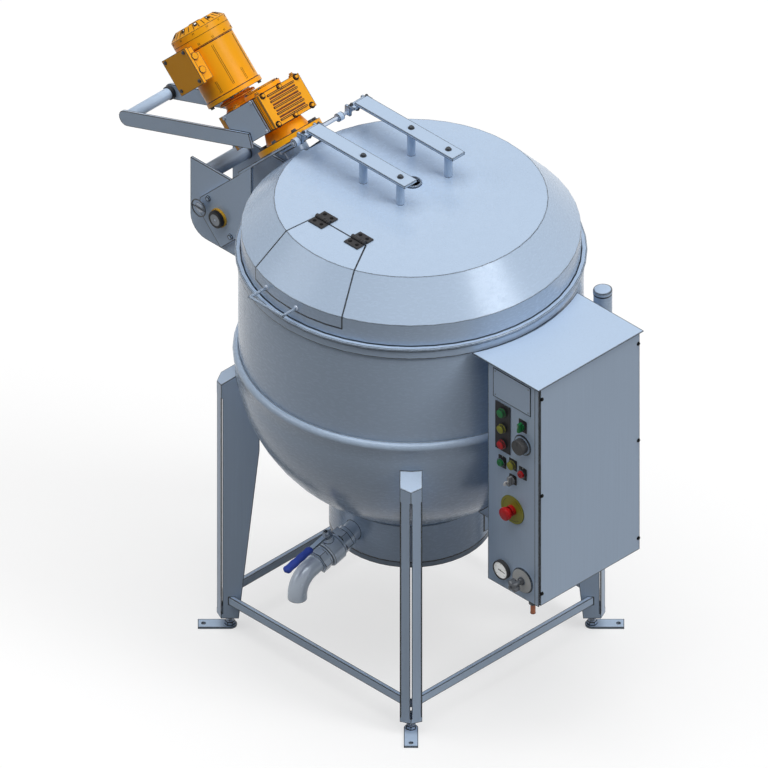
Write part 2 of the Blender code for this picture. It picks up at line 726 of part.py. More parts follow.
def drain(steel, blue, root, turning):
    """Pipe, ball valve with its lever, and elbow."""
    ring_end = DRAIN_PIPE_LENGTH + DRAIN_RING_LENGTH
    profile = [
        (0, DRAIN_START), (DRAIN_PIPE_RADIUS, DRAIN_START), (DRAIN_PIPE_RADIUS, DRAIN_PIPE_LENGTH),
        (DRAIN_RING_RADIUS, DRAIN_PIPE_LENGTH), (DRAIN_RING_RADIUS, ring_end), (DRAIN_BORE_RADIUS, ring_end),
        (DRAIN_BORE_RADIUS, DRAIN_BORE_START), (0, DRAIN_BORE_START),
    ]
    pipe = moved(turned(profile, MID_SIDES, math.pi / MID_SIDES / 2), DRAIN)
    piece(cut(pipe, bowl_cutter(FIT)), "drain_pipe", steel, root)

    nut_end = ring_end + FIT + VALVE_NUT_LENGTH
    body_start = nut_end + VALVE_GROOVE_LENGTH
    body_end = body_start + VALVE_BODY_LENGTH
    last_nut = body_end + VALVE_GROOVE_LENGTH
    valve_end = last_nut + VALVE_NUT_LENGTH
    middle = (body_start + body_end) / 2
    bevel = VALVE_GROOVE_LENGTH / 2
    profile = [
        (0, ring_end + FIT), (VALVE_GROOVE_RADIUS, ring_end + FIT), (VALVE_GROOVE_RADIUS, body_start),
        (VALVE_BODY_RADIUS - bevel, body_start), (VALVE_BODY_RADIUS, body_start + bevel),
        (VALVE_BODY_RADIUS, body_end - bevel), (VALVE_BODY_RADIUS - bevel, body_end),
        (VALVE_GROOVE_RADIUS, body_end), (VALVE_GROOVE_RADIUS, valve_end), (0, valve_end),
    ]
    body = moved(turned(profile, MID_SIDES), DRAIN)
    nuts = [drain_rod(VALVE_NUT_RADIUS, ring_end + FIT + WELD, nut_end, HEX_SIDES),
            drain_rod(VALVE_NUT_RADIUS, last_nut, valve_end - WELD, HEX_SIDES)]
    stem_place = DRAIN_ORIGIN + DRAIN_DIRECTION * middle
    boss = rod(STEM_BOSS_RADIUS, stem_place, stem_place + DRAIN_UP * STEM_BOSS_HEIGHT, 12, math.pi / 17)
    body = join(body, boss, *nuts)
    bore = drain_rod(DRAIN_BORE_RADIUS, ring_end - OVERRUN, valve_end + OVERRUN, MID_SIDES, math.pi / 17)
    lever_frame = Matrix.Translation(stem_place) @ frame_from(DRAIN_DIRECTION, DRAIN_UP)
    pocket_radius = (BALL_RADIUS + RUN) / math.cos(math.pi / SMALL_SIDES)
    pocket = moved(ball_solid(pocket_radius, SMALL_SIDES, 8), lever_frame)
    stem_hole = rod(STEM_RADIUS + RUN, stem_place, stem_place + DRAIN_UP * (STEM_BOSS_HEIGHT + OVERRUN), 12)
    piece(cut(body, bore, pocket, stem_hole), "valve_body", steel, root)

    ball = moved(ball_solid(BALL_RADIUS, SMALL_SIDES, 8), lever_frame)
    stem = rod(STEM_RADIUS, stem_place, stem_place + DRAIN_UP * STEM_HEIGHT, 12)
    through = drain_rod(DRAIN_BORE_RADIUS, middle - BALL_RADIUS - OVERRUN, middle + BALL_RADIUS + OVERRUN, 16)
    piece(cut(join(ball, stem), through), "valve_ball", steel, turning, stem_place)

    lever_low = STEM_BOSS_HEIGHT + RUN
    lever_high = lever_low + LEVER_THICKNESS
    half = LEVER_HALF_WIDTH
    hub = [(half * 1.5 * math.cos(a), half * 1.5 * math.sin(a))
           for a in (math.radians(30 * k) for k in range(12))]
    lever = join(prism(hub, lever_low, lever_high),
                 prism([(0, -half), (LEVER_LENGTH, -half), (LEVER_LENGTH, half), (0, half)], lever_low, lever_high))
    lever = cut(lever, cylinder(STEM_RADIUS + FIT, 0, STEM_HEIGHT + OVERRUN, 12))
    piece(moved(lever, lever_frame), "valve_lever", steel, turning, stem_place)

    mid = (lever_low + lever_high) / 2
    low, high = mid - GRIP_HALF_HEIGHT, mid + GRIP_HALF_HEIGHT
    wide, round_end = GRIP_HALF_WIDTH, GRIP_HALF_HEIGHT
    side = [(GRIP_START, low), (GRIP_END - round_end, low)] + arc(GRIP_END - round_end, mid, round_end, -60, 60, 4)
    side += [(GRIP_END - round_end, high), (GRIP_START, high)]
    grip = prism(side, -wide, wide, "Y")
    pocket_cut = block((GRIP_START - OVERRUN, -half - FIT, lever_low - FIT),
                       (LEVER_LENGTH + FIT, half + FIT, lever_high + FIT))
    piece(moved(cut(grip, pocket_cut), lever_frame), "lever_grip", blue, turning, stem_place)

    elbow(steel, root, valve_end + FIT)


def frame_from(forward, up):
    """A turn whose +X is forward and whose +Z is up."""
    side = up.cross(forward)
    return Matrix((forward, side, up)).transposed().to_4x4()


def ball_solid(radius, sides, steps):
    """A faceted ball about the origin."""
    points = arc(0, 0, radius, -90, 90, steps)
    return turned([(0, -radius)] + points[1:-1] + [(0, radius)], sides)


def elbow(steel, root, start):
    """A bent pipe from the valve down to its outlet."""
    begin = DRAIN_ORIGIN + DRAIN_DIRECTION * start
    bend_start = begin + DRAIN_DIRECTION * ELBOW_SOCKET_LENGTH
    centre = bend_start - DRAIN_UP * ELBOW_BEND_RADIUS
    sweep = math.radians(90 - DRAIN_SLOPE)
    route = [begin]
    for k in range(ELBOW_STEPS + 1):
        angle = sweep * k / ELBOW_STEPS
        spoke = DRAIN_UP * math.cos(angle) + DRAIN_DIRECTION * math.sin(angle)
        route.append(centre + spoke * ELBOW_BEND_RADIUS)
    route.append(route[-1] + Vector((0, 0, -ELBOW_OUTLET_LENGTH)))
    bm = bmesh.new()
    rings = []
    for radius, points in ((ELBOW_RADIUS, route), (DRAIN_BORE_RADIUS, route[::-1])):
        for i, place in enumerate(points):
            ahead = points[min(i + 1, len(points) - 1)] - points[max(i - 1, 0)]
            if i == 0:
                ahead = points[1] - points[0]
            if radius == DRAIN_BORE_RADIUS:
                ahead = -ahead
            ahead.normalize()
            side = Vector((1, 0, 0))
            up = ahead.cross(side)
            turn = [math.tau * k / SMALL_SIDES for k in range(SMALL_SIDES)]
            rings.append([bm.verts.new(place + (side * math.cos(a) + up * math.sin(a)) * radius) for a in turn])
    for i, ring in enumerate(rings):
        after = rings[(i + 1) % len(rings)]
        for k in range(SMALL_SIDES):
            n = (k + 1) % SMALL_SIDES
            bm.faces.new((ring[k], ring[n], after[n], after[k]))
    piece(solid(bm), "drain_elbow", steel, root)


def standpipe(steel, root):
    turn = Matrix.Rotation(math.radians(45), 4, "Z")
    pipe = cylinder_at(STANDPIPE_RADIUS, STANDPIPE_CENTRE, 0, STANDPIPE_LOW_Z, STANDPIPE_TOP_Z, 20)
    nipple = rod(NIPPLE_RADIUS, (BOWL_RADIUS - OVERRUN, 0, NIPPLE_Z), (STANDPIPE_CENTRE, 0, NIPPLE_Z), 12)
    made = moved(join(pipe, nipple), turn)
    wall = cylinder(BOWL_RADIUS + FIT, NIPPLE_Z - 2 * NIPPLE_RADIUS, NIPPLE_Z + 2 * NIPPLE_RADIUS, BIG_SIDES)
    piece(cut(made, wall), "standpipe", steel, root)


def control_box(steel, copper, root):
    """The box with its arms to the kettle, its top plate, side cover and water pipe."""
    half, sheet = BOX_HALF_WIDTH, BOX_SHEET
    face = BOX_OUTER_X - sheet - FIT
    shell = block((BOX_INNER_X, -half, BOX_LOW_Z), (face, half, BOX_HIGH_Z))
    hollow = block((BOX_INNER_X + sheet, -half + sheet, BOX_LOW_Z + sheet),
                   (BOX_OUTER_X + OVERRUN, half - sheet - BOX_SLOT, BOX_HIGH_Z - sheet))
    fold = block((face - WELD, -half, BOX_LOW_Z), (BOX_OUTER_X, -half + sheet, BOX_HIGH_Z))
    arms = []
    for z in (BOX_UPPER_ARM_Z, BOX_LOWER_ARM_Z):
        arms.append(block((0, -BOX_ARM_HALF_WIDTH, z - BOX_ARM_HEIGHT / 2),
                          (BOX_INNER_X + WELD, BOX_ARM_HALF_WIDTH, z + BOX_ARM_HEIGHT / 2)))
    kettle = cylinder(BOWL_RADIUS + FIT, BOWL_CENTRE_Z, RIM_Z, BIG_SIDES)
    ball = turned(jacket_profile(JACKET_RADIUS + FIT), BIG_SIDES)
    arms[0] = cut(arms[0], kettle)
    arms[1] = cut(arms[1], ball)
    made = cut(join(shell, fold), hollow)
    made = join(made, *arms)
    discs = [
        panel_disc(DIAL_PLACE, DIAL_RING_RADIUS, -WELD, DIAL_RING_DEPTH, 24),
        panel_disc(TAP_PLACE, TAP_DISC_RADIUS, -WELD, TAP_DISC_DEPTH, 24),
    ]
    bore, rim = BUTTON_RADIUS + RUN, BUTTON_RADIUS + BEZEL_WIDTH
    for place in (START_PLACE, STOP_PLACE):
        ring = [(bore, -WELD), (rim, -WELD), (rim, BEZEL_DEPTH), (bore, BEZEL_DEPTH)]
        discs.append(panel_turned(place, ring, 20))
    piece(join(made, *discs), "control_box", steel, root)

    cover = block((face + FIT, -half + sheet + BOX_SLOT, BOX_LOW_Z), (BOX_OUTER_X, half, BOX_HIGH_Z))
    piece(cover, "service_cover", steel, root)

    wide = half + BOX_TOP_OVERHANG
    reach = math.degrees(math.asin(wide / BOX_TOP_ARC_RADIUS))
    outline = arc(0, 0, BOX_TOP_ARC_RADIUS, reach, -reach, 14)
    outline += [(BOX_OUTER_X + BOX_TOP_OVERHANG, -wide), (BOX_OUTER_X + BOX_TOP_OVERHANG, wide)]
    top = BOX_HIGH_Z + FIT
    piece(prism(outline, top, top + sheet), "control_box_top", steel, root)

    pipe = cylinder_at(INLET_PIPE_RADIUS, INLET_PIPE_X, INLET_PIPE_Y, INLET_PIPE_END_Z, BOX_LOW_Z - FIT, 12)
    piece(pipe, "water_inlet_pipe", copper, root)


def panel_disc(place, radius, start, end, sides=20, phase=0.0):
    """A disc on the front panel, between two distances in front of it."""
    return across(radius, place[0], place[1], PANEL_Y - start, PANEL_Y - end, sides, phase)


def panel_turned(place, profile, sides):
    """A turned shape on the front panel: heights run out from the panel."""
    turn = Matrix.Translation((place[0], PANEL_Y, place[1])) @ Matrix.Rotation(math.pi / 2, 4, "X")
    return moved(turned(profile, sides), turn)


def panel_pieces(looks, root, frames):
    """Lamps, buttons, switches, dial, gauge and tap on the box's front."""
    low, high = LAMP_PLATE_LOW, LAMP_PLATE_HIGH
    plate = block((low[0], PANEL_Y - FIT - PANEL_PLATE, low[1]), (high[0], PANEL_Y - FIT, high[1]))
    piece(plate, "lamp_plate", looks["black"], root)
    base = 2 * FIT + PANEL_PLATE
    for k, colour in enumerate(("green", "yellow", "red")):
        place = (LAMP_X, LAMP_MIDDLE_Z + LAMP_SPACING * (1 - k))
        piece(lamp(place, base), f"lamp_{colour}", looks[colour], root)
    piece(lamp(INDICATOR_PLACE, FIT), "indicator_lamp", looks["yellow"], root)

    for name, place, colour in (("start_button", START_PLACE, "green"), ("stop_button", STOP_PLACE, "red")):
        travel = BUTTON_TRAVEL + RUN
        bevel = BUTTON_RADIUS / 8
        profile = [(0, travel), (BUTTON_RADIUS, travel), (BUTTON_RADIUS, travel + BUTTON_DEPTH - bevel),
                   (BUTTON_RADIUS - bevel, travel + BUTTON_DEPTH), (0, travel + BUTTON_DEPTH)]
        origin = (place[0], PANEL_Y, place[1])
        piece(panel_turned(place, profile, 16), name, looks[colour], frames[name], origin)

    for name, place, colour in (("mode_selector", SELECTOR_PLACE, "green"), ("key_switch", KEY_PLACE, "grey")):
        hub = panel_disc(place, SELECTOR_RADIUS, RUN, SELECTOR_DEPTH, 16)
        half, deep = SELECTOR_BAR_HALF_WIDTH, SELECTOR_DEPTH + SELECTOR_BAR_DEPTH
        tall = SELECTOR_RADIUS * 1.2
        bar = block((place[0] - half, PANEL_Y - deep, place[1] - tall),
                    (place[0] + half, PANEL_Y - SELECTOR_DEPTH / 2, place[1] + tall))
        origin = (place[0], PANEL_Y, place[1])
        piece(join(hub, bar), name, looks[colour], frames[name], origin)

    start = DIAL_RING_DEPTH + RUN
    deep, bevel = start + DIAL_DEPTH, DIAL_RADIUS / 10
    profile = [(0, start), (DIAL_RADIUS, start), (DIAL_RADIUS - bevel, deep - bevel),
               (DIAL_RADIUS - 2 * bevel, deep), (0, deep)]
    dial = panel_turned(DIAL_PLACE, profile, 24)
    mark = block((DIAL_PLACE[0] - bevel / 2, PANEL_Y - deep - bevel, DIAL_PLACE[1]),
                 (DIAL_PLACE[0] + bevel / 2, PANEL_Y - deep + bevel / 2, DIAL_PLACE[1] + DIAL_RADIUS))
    piece(cut(dial, mark), "temperature_dial", looks["black"], frames["temperature_dial"],
          (DIAL_PLACE[0], PANEL_Y, DIAL_PLACE[1]))

    neck_end = FIT + ESTOP_NECK_DEPTH
    profile = [(ESTOP_SHANK_RADIUS + RUN, FIT), (ESTOP_PLATE_RADIUS, FIT),
               (ESTOP_PLATE_RADIUS, FIT + PANEL_PLATE), (ESTOP_NECK_RADIUS, FIT + PANEL_PLATE),
               (ESTOP_NECK_RADIUS, neck_end), (ESTOP_SHANK_RADIUS + RUN, neck_end)]
    piece(panel_turned(ESTOP_PLACE, profile, 28), "emergency_stop_collar", looks["yellow"], root)
    head = neck_end + ESTOP_TRAVEL + RUN
    bevel = ESTOP_HEAD_RADIUS / 6
    profile = [(0, ESTOP_TRAVEL + RUN), (ESTOP_SHANK_RADIUS, ESTOP_TRAVEL + RUN), (ESTOP_SHANK_RADIUS, head),
               (ESTOP_HEAD_RADIUS - bevel, head), (ESTOP_HEAD_RADIUS, head + bevel),
               (ESTOP_HEAD_RADIUS, ESTOP_DEPTH - bevel), (ESTOP_HEAD_RADIUS - bevel, ESTOP_DEPTH),
               (0, ESTOP_DEPTH)]
    piece(panel_turned(ESTOP_PLACE, profile, 20), "emergency_stop_button", looks["red"],
          frames["emergency_stop_button"], (ESTOP_PLACE[0], PANEL_Y, ESTOP_PLACE[1]))

    inner = GAUGE_RADIUS - GAUGE_LIP
    profile = [(0, FIT), (GAUGE_RADIUS, FIT), (GAUGE_RADIUS, GAUGE_DEPTH), (inner, GAUGE_DEPTH),
               (inner, GAUGE_DEPTH - GAUGE_LIP), (0, GAUGE_DEPTH - GAUGE_LIP)]
    piece(panel_turned(GAUGE_PLACE, profile, 24), "pressure_gauge", looks["steel"], root)

    start = TAP_DISC_DEPTH + RUN
    grip_start = TAP_DEPTH - TAP_KNOB_DEPTH
    hub = panel_disc(TAP_PLACE, TAP_HUB_RADIUS, start, TAP_DEPTH - WELD, 12)
    lobes = []
    for k in range(TAP_LOBES):
        angle = math.tau * (k + 0.5) / TAP_LOBES
        reach = TAP_KNOB_RADIUS * 0.62
        place = (TAP_PLACE[0] + reach * math.cos(angle), TAP_PLACE[1] + reach * math.sin(angle))
        lobes.append(panel_disc(place, TAP_KNOB_RADIUS * 0.42, grip_start, TAP_DEPTH, 8, angle))
    piece(join(hub, *lobes), "tap_knob", looks["steel"], frames["tap_knob"],
          (TAP_PLACE[0], PANEL_Y, TAP_PLACE[1]))


def lamp(place, base):
    """A grooved signal lamp standing on the panel or on the lamp plate."""
    step = LAMP_DEPTH / 8
    top = base + LAMP_DEPTH
    profile = [(0, base), (LAMP_RADIUS, base), (LAMP_RADIUS, top - 4 * step),
               (LAMP_RADIUS - step, top - 3.5 * step), (LAMP_RADIUS - step, top - 3 * step),
               (LAMP_RADIUS - step / 2, top - 2.5 * step), (LAMP_RADIUS - step / 2, top - step / 2),
               (LAMP_RADIUS - step, top), (0, top)]
    return panel_turned(place, profile, 20)


def drive_point(along, height):
    """A place (x, z) from the drive's own axes: along the case, and up its shaft."""
    place = DRIVE @ Vector((along, 0, height))
    return place.x, place.z


def mixer_bracket(steel, root):
    """Two plates, a pad on the kettle wall and a cross tube, welded into one."""
    corner = BRACKET_CORNER
    plates = []
    for side in (-1, 1):
        outline = [(-WALL_INNER_RADIUS + 2 * OVERRUN, BRACKET_HIGH_Z), (BRACKET_OUTER_X, BRACKET_HIGH_Z)]
        outline += arc(BRACKET_OUTER_X + corner, BRACKET_LOW_Z + corner, corner, 180, 270, 6)
        outline += [(-WALL_INNER_RADIUS + 2 * OVERRUN, BRACKET_LOW_Z)]
        edges = sorted((side * BRACKET_OUTER_Y, side * (BRACKET_OUTER_Y - BRACKET_PLATE)))
        plates.append(prism(outline, edges[0], edges[1], "Y"))
    inner_y = BRACKET_OUTER_Y - BRACKET_PLATE + WELD
    pad = block((-BOWL_RADIUS - BRACKET_PAD, -inner_y, BRACKET_LOW_Z + OVERRUN),
                (-WALL_INNER_RADIUS + 2 * OVERRUN, inner_y, BRACKET_HIGH_Z - OVERRUN))
    tube = across(BRACKET_TUBE_RADIUS, BRACKET_TUBE_X, BRACKET_TUBE_Z, -inner_y, inner_y, 20)
    wall = cylinder(BOWL_RADIUS + FIT, BRACKET_LOW_Z - OVERRUN, BRACKET_HIGH_Z + OVERRUN, BIG_SIDES)
    made = cut(join(plates[0], plates[1], pad, tube), wall)
    reach = SWING_OUTER_Y + OVERRUN
    made = cut(made, across(PIVOT_RADIUS + RUN, PIVOT_X, PIVOT_Z, -reach, reach))
    piece(made, "mixer_bracket", steel, root)


def swing_outline():
    """The side plate's corners in X and Z: a slanted rectangle with two corners cut upright."""
    left, bottom = -SWING_LEFT, -SWING_BOTTOM

    def at_x(height, x):
        return (x - FLANGE_X) / math.cos(LEAN) + height * math.tan(LEAN)

    def height_at(along, x):
        return (along * math.cos(LEAN) - (x - FLANGE_X)) / math.sin(LEAN)

    top = BASE_LOW + WELD
    return [
        drive_point(at_x(top, SWING_CUT_X), top), drive_point(left, height_at(left, SWING_CUT_X)),
        drive_point(left, bottom), drive_point(at_x(bottom, SWING_RIGHT_X), bottom),
        drive_point(at_x(top, SWING_RIGHT_X), top),
    ]


def swing_frame(looks, body):
    """Side plates, base plate and the lugs of the lid's rod, welded into one."""
    parts = []
    for side in (-1, 1):
        edges = sorted((side * SWING_INNER_Y, side * SWING_OUTER_Y))
        parts.append(prism(swing_outline(), edges[0], edges[1], "Y"))
        for height in (1, -1):
            along = Vector((math.sin(LEAN), 0, -math.cos(LEAN))) * (-height * SWING_BOLT_REACH)
            place = (PIVOT_X + along.x, PIVOT_Z + along.z)
            ends = sorted((side * (SWING_OUTER_Y - WELD), side * (SWING_OUTER_Y + SWING_BOLT_HEIGHT)))
            parts.append(across(SWING_BOLT_RADIUS, place[0], place[1], ends[0], ends[1], HEX_SIDES))
    from_flange = Vector((LID_ROD_X - FLANGE_X, 0, LID_ROD_Z - FLANGE_Z))
    rod_along = from_flange.dot(Vector((math.cos(LEAN), 0, math.sin(LEAN)))) - ROD_LUG_RADIUS * 0.6
    block_low = LID_BAR_Y[0] - KNUCKLE_BLOCK_HALF_LENGTH - ROD_LUG_GAP
    block_high = LID_BAR_Y[0] + KNUCKLE_BLOCK_HALF_LENGTH + ROD_LUG_GAP
    lugs = [(-SWING_OUTER_Y, block_low), (block_high, block_high + ROD_LUG_WIDTH),
            (SWING_OUTER_Y - ROD_LUG_WIDTH, SWING_OUTER_Y)]
    outline = [(-BASE_PLATE_START, SWING_OUTER_Y - WELD), (-BASE_PLATE_START, -SWING_OUTER_Y + WELD)]
    for low, high in lugs:
        outline += [(BASE_PLATE_END, low + WELD), (rod_along, low + WELD)]
        outline += [(rod_along, high - WELD), (BASE_PLATE_END, high - WELD)]
        parts.append(across(ROD_LUG_RADIUS, LID_ROD_X, LID_ROD_Z, low, high))
    outline = [corner for i, corner in enumerate(outline) if i not in (2, len(outline) - 1)]
    base = moved(prism(outline, BASE_LOW, BASE_TOP), DRIVE)
    made = join(base, *parts)
    reach = SWING_OUTER_Y + 2 * OVERRUN
    shaft_hole = moved(cylinder(SEAL_RADIUS + FIT, BASE_LOW - OVERRUN, BASE_TOP + OVERRUN, MID_SIDES), DRIVE)
    rod_hole = across(LID_ROD_RADIUS + FIT, LID_ROD_X, LID_ROD_Z, -reach, reach, 14, math.pi / 31)
    pivot_hole = across(PIVOT_RADIUS + FIT, PIVOT_X, PIVOT_Z, -reach, reach)
    pin_hole = across(LOCK_PIN_RADIUS + FIT, LOCK_PIN_X, LOCK_PIN_Z, -reach, 0, 12)
    origin = (PIVOT_X, 0, PIVOT_Z)
    piece(cut(made, shaft_hole, rod_hole, pivot_hole, pin_hole), "swing_frame", looks["steel"], body, origin)

    knob_start, nut_start = SWING_OUTER_Y + FIT, SWING_OUTER_Y + FIT
    pivot = across(PIVOT_RADIUS, PIVOT_X, PIVOT_Z, -knob_start - WELD, nut_start + WELD)
    knob = across(PIVOT_KNOB_RADIUS, PIVOT_X, PIVOT_Z, -knob_start - PIVOT_KNOB_DEPTH, -knob_start, 24)
    nut = across(PIVOT_NUT_RADIUS, PIVOT_X, PIVOT_Z, nut_start, nut_start + PIVOT_NUT_DEPTH, HEX_SIDES)
    piece(join(pivot, knob, nut), "pivot_shaft", looks["black"], body, origin)

    rod_piece = across(LID_ROD_RADIUS, LID_ROD_X, LID_ROD_Z, -SWING_OUTER_Y, LID_ROD_END, 12)
    piece(rod_piece, "lid_hinge_rod", looks["steel"], body, origin)


def lock_pin(looks, body):
    """The retracted locking pin: its tip stays in the swing plate, its grip stands outside."""
    outer = -SWING_OUTER_Y - LOCK_PIN_STANDOFF
    pin = across(LOCK_PIN_RADIUS, LOCK_PIN_X, LOCK_PIN_Z, outer - WELD, -SWING_INNER_Y, 12)
    grip = across(LOCK_PIN_GRIP_RADIUS, LOCK_PIN_X, LOCK_PIN_Z, outer - LOCK_PIN_GRIP_DEPTH, outer, 16)
    piece(join(pin, grip), "lock_pin", looks["steel"], body, (LOCK_PIN_X, 0, LOCK_PIN_Z))


def gearbox(looks, body):
    """The gear case with its flange and motor neck, its ribbed cover and its shaft seal."""
    origin = (PIVOT_X, 0, PIVOT_Z)
    wide, slim, step = CASE_HALF_WIDTH, CASE_MOTOR_HALF_WIDTH, CASE_STEP
    outline = [
        (CASE_OUTPUT_END, -wide), (CASE_OUTPUT_END, wide), (-step, wide), (-CASE_MOTOR_END, slim),
        (-CASE_MOTOR_END, -slim), (-step, -wide),
    ]
    case = prism(outline, NECK_TOP, CASE_TOP)
    profile = [(0, -FLANGE_UNDER), (FLANGE_RADIUS, -FLANGE_UNDER), (FLANGE_RADIUS, FLANGE_TOP),
               (NECK_RADIUS * 1.2, FLANGE_TOP), (NECK_RADIUS, NECK_TOP + WELD), (0, NECK_TOP + WELD)]
    parts = [turned(profile, MID_SIDES),
             cylinder(REAR_BOSS_RADIUS, CASE_TOP - WELD, CASE_TOP + REAR_BOSS_DEPTH, MID_SIDES)]
    neck = cylinder(ADAPTER_RADIUS, CASE_TOP - WELD, CASE_TOP + ADAPTER_LENGTH, 20)
    parts.append(moved(neck, Matrix.Translation((-CENTRE_DISTANCE, 0, 0))))
    made = cut(join(case, *parts), cylinder(SHAFT_RADIUS + FIT, -OVERRUN, SHAFT_TOP + FIT, 20))
    piece(moved(made, DRIVE), "gearbox_housing", looks["orange"], body, origin)

    start = CASE_OUTPUT_END + FIT
    plate = block((start, -wide, NECK_TOP), (start + COVER_PLATE, wide, CASE_TOP))
    ribs = []
    span = CASE_TOP - NECK_TOP - 2 * COVER_MARGIN
    for k in range(COVER_RIB_COUNT):
        z = NECK_TOP + COVER_MARGIN + span * k / (COVER_RIB_COUNT - 1)
        ribs.append(block((start + COVER_PLATE - WELD, -wide + 2 * COVER_MARGIN, z - COVER_RIB / 2),
                          (start + COVER_PLATE + COVER_RIB, wide - 2 * COVER_MARGIN, z + COVER_RIB / 2)))
    for y in (-wide + COVER_MARGIN, 0, wide - COVER_MARGIN):
        for z in (NECK_TOP + COVER_MARGIN / 2, CASE_TOP - COVER_MARGIN / 2):
            ribs.append(rod(COVER_BOLT_RADIUS, (start + COVER_PLATE - WELD, y, z),
                            (start + COVER_PLATE + COVER_BOLT_HEIGHT, y, z), HEX_SIDES))
    piece(moved(join(plate, *ribs), DRIVE), "gearbox_cover", looks["orange"], body, origin)

    top = BASE_TOP - FIT
    collar = BASE_LOW - FIT
    bore = SHAFT_RADIUS + RUN
    profile = [(bore, top), (SEAL_RADIUS, top), (SEAL_RADIUS, collar), (SEAL_COLLAR_RADIUS, collar),
               (SEAL_COLLAR_RADIUS, collar - SEAL_COLLAR), (SEAL_RADIUS, collar - SEAL_COLLAR),
               (SEAL_RADIUS, -SEAL_DEPTH), (bore, -SEAL_DEPTH)]
    piece(moved(turned(profile, MID_SIDES), DRIVE), "seal_housing", looks["steel"], body, origin)


def motor(looks, body, fan_body):
    """Finned motor, terminal box, fan and slotted cowl on the drive's second axis."""
    origin = (PIVOT_X, 0, PIVOT_Z)
    axis = DRIVE @ Matrix.Translation((-CENTRE_DISTANCE, 0, 0))
    start = CASE_TOP + ADAPTER_LENGTH + FIT
    body_start = start + SHIELD_LENGTH
    body_end = body_start + MOTOR_LENGTH
    core = MOTOR_RADIUS - MOTOR_FIN_DEPTH
    profile = [(0, start), (SHIELD_RADIUS, start), (SHIELD_RADIUS, body_start), (core, body_start),
               (core, body_end - COWL_LAP), (MOTOR_RADIUS, body_end - COWL_LAP), (MOTOR_RADIUS, body_end),
               (0, body_end)]
    fins = []
    for k in range(MOTOR_FIN_COUNT):
        fin = block((core - OVERRUN, -MOTOR_FIN_WIDTH / 2, body_start - WELD),
                    (MOTOR_RADIUS - WELD, MOTOR_FIN_WIDTH / 2, body_end - COWL_LAP + OVERRUN / 4))
        fins.append(moved(fin, Matrix.Rotation(math.tau * (k + 0.5) / MOTOR_FIN_COUNT, 4, "Z")))
    shell = join(turned(profile, MID_SIDES), *fins)
    box_inner = TERMINAL_REACH - TERMINAL_LID
    box_seat = block((-TERMINAL_HALF_LENGTH - FIT, -TERMINAL_REACH, TERMINAL_LOW - FIT),
                     (TERMINAL_HALF_LENGTH + FIT, -core + FIT, body_end + OVERRUN))
    hole = cylinder(FAN_SHAFT_RADIUS + RUN, body_end - FAN_SHAFT_DEPTH, body_end + OVERRUN, 12)
    piece(moved(cut(shell, box_seat, hole), axis), "motor_body", looks["orange"], body, origin)

    base = block((-TERMINAL_HALF_LENGTH, -box_inner, TERMINAL_LOW),
                 (TERMINAL_HALF_LENGTH, -core, body_end - COWL_LAP - OVERRUN / 2))
    lid_low, lid_high = TERMINAL_LOW - TERMINAL_LIP, TERMINAL_HIGH
    lid = block((-TERMINAL_HALF_LENGTH - TERMINAL_LIP, -TERMINAL_REACH, lid_low),
                (TERMINAL_HALF_LENGTH + TERMINAL_LIP, -box_inner + WELD, lid_high))
    parts = [lid]
    upper = block((-TERMINAL_HALF_LENGTH, -box_inner, TERMINAL_LOW),
                  (TERMINAL_HALF_LENGTH, -COWL_RADIUS - OVERRUN / 2, TERMINAL_HIGH - TERMINAL_LIP))
    parts.append(upper)
    for share in (0.3, 0.7):
        z = TERMINAL_LOW + (TERMINAL_HIGH - TERMINAL_LOW) * share
        y = -(box_inner + COWL_RADIUS) / 2 - OVERRUN / 4
        parts.append(rod(PLUG_RADIUS, (TERMINAL_HALF_LENGTH - WELD, y, z),
                         (TERMINAL_HALF_LENGTH + PLUG_HEIGHT, y, z), 12))
    piece(moved(join(base, *parts), axis), "terminal_box", looks["orange"], body, origin)

    cowl_start = body_end - COWL_LAP + OVERRUN / 4 + FIT
    cowl_end = body_end + COWL_LENGTH
    tip = cowl_end + COWL_CONE_LENGTH
    inner = MOTOR_RADIUS + FIT
    sheet = COWL_SHEET
    profile = [(inner, cowl_start), (COWL_RADIUS, cowl_start), (COWL_RADIUS, cowl_end), (COWL_END_RADIUS, tip),
               (0, tip), (0, tip - sheet), (COWL_END_RADIUS - sheet, tip - sheet), (inner, cowl_end - sheet / 2)]
    slots = []
    for k in range(COWL_SLOT_COUNT):
        slot = block((COWL_SLOT_INNER, -COWL_SLOT_WIDTH / 2, cowl_end + sheet),
                     ((COWL_RADIUS + COWL_END_RADIUS) / 2, COWL_SLOT_WIDTH / 2, tip + OVERRUN))
        slots.append(moved(slot, Matrix.Rotation(math.tau * k / COWL_SLOT_COUNT, 4, "Z")))
    cowl = cut(turned(profile, MID_SIDES), *slots)
    piece(moved(cowl, axis), "fan_cowl", looks["orange"], body, origin)

    fan_low = body_end + FAN_GAP
    fan_high = fan_low + FAN_WIDTH
    hub = cylinder(FAN_HUB_RADIUS, fan_low, fan_high, 12)
    disc = cylinder(FAN_RADIUS * 0.9, fan_low, fan_low + FAN_BLADE, 16)
    shaft = cylinder(FAN_SHAFT_RADIUS, body_end - FAN_SHAFT_DEPTH + RUN, fan_low + WELD, 12)
    blades = []
    for k in range(FAN_BLADE_COUNT):
        blade = block((FAN_HUB_RADIUS - FAN_BLADE, -FAN_BLADE / 2, fan_low + FAN_BLADE / 2),
                      (FAN_RADIUS, FAN_BLADE / 2, fan_high - FAN_BLADE))
        blades.append(moved(blade, Matrix.Rotation(math.tau * k / FAN_BLADE_COUNT, 4, "Z")))
    fan_origin = axis @ Vector((0, 0, fan_low))
    piece(moved(join(hub, disc, shaft, *blades), axis), "motor_fan", looks["black"], fan_body, fan_origin)


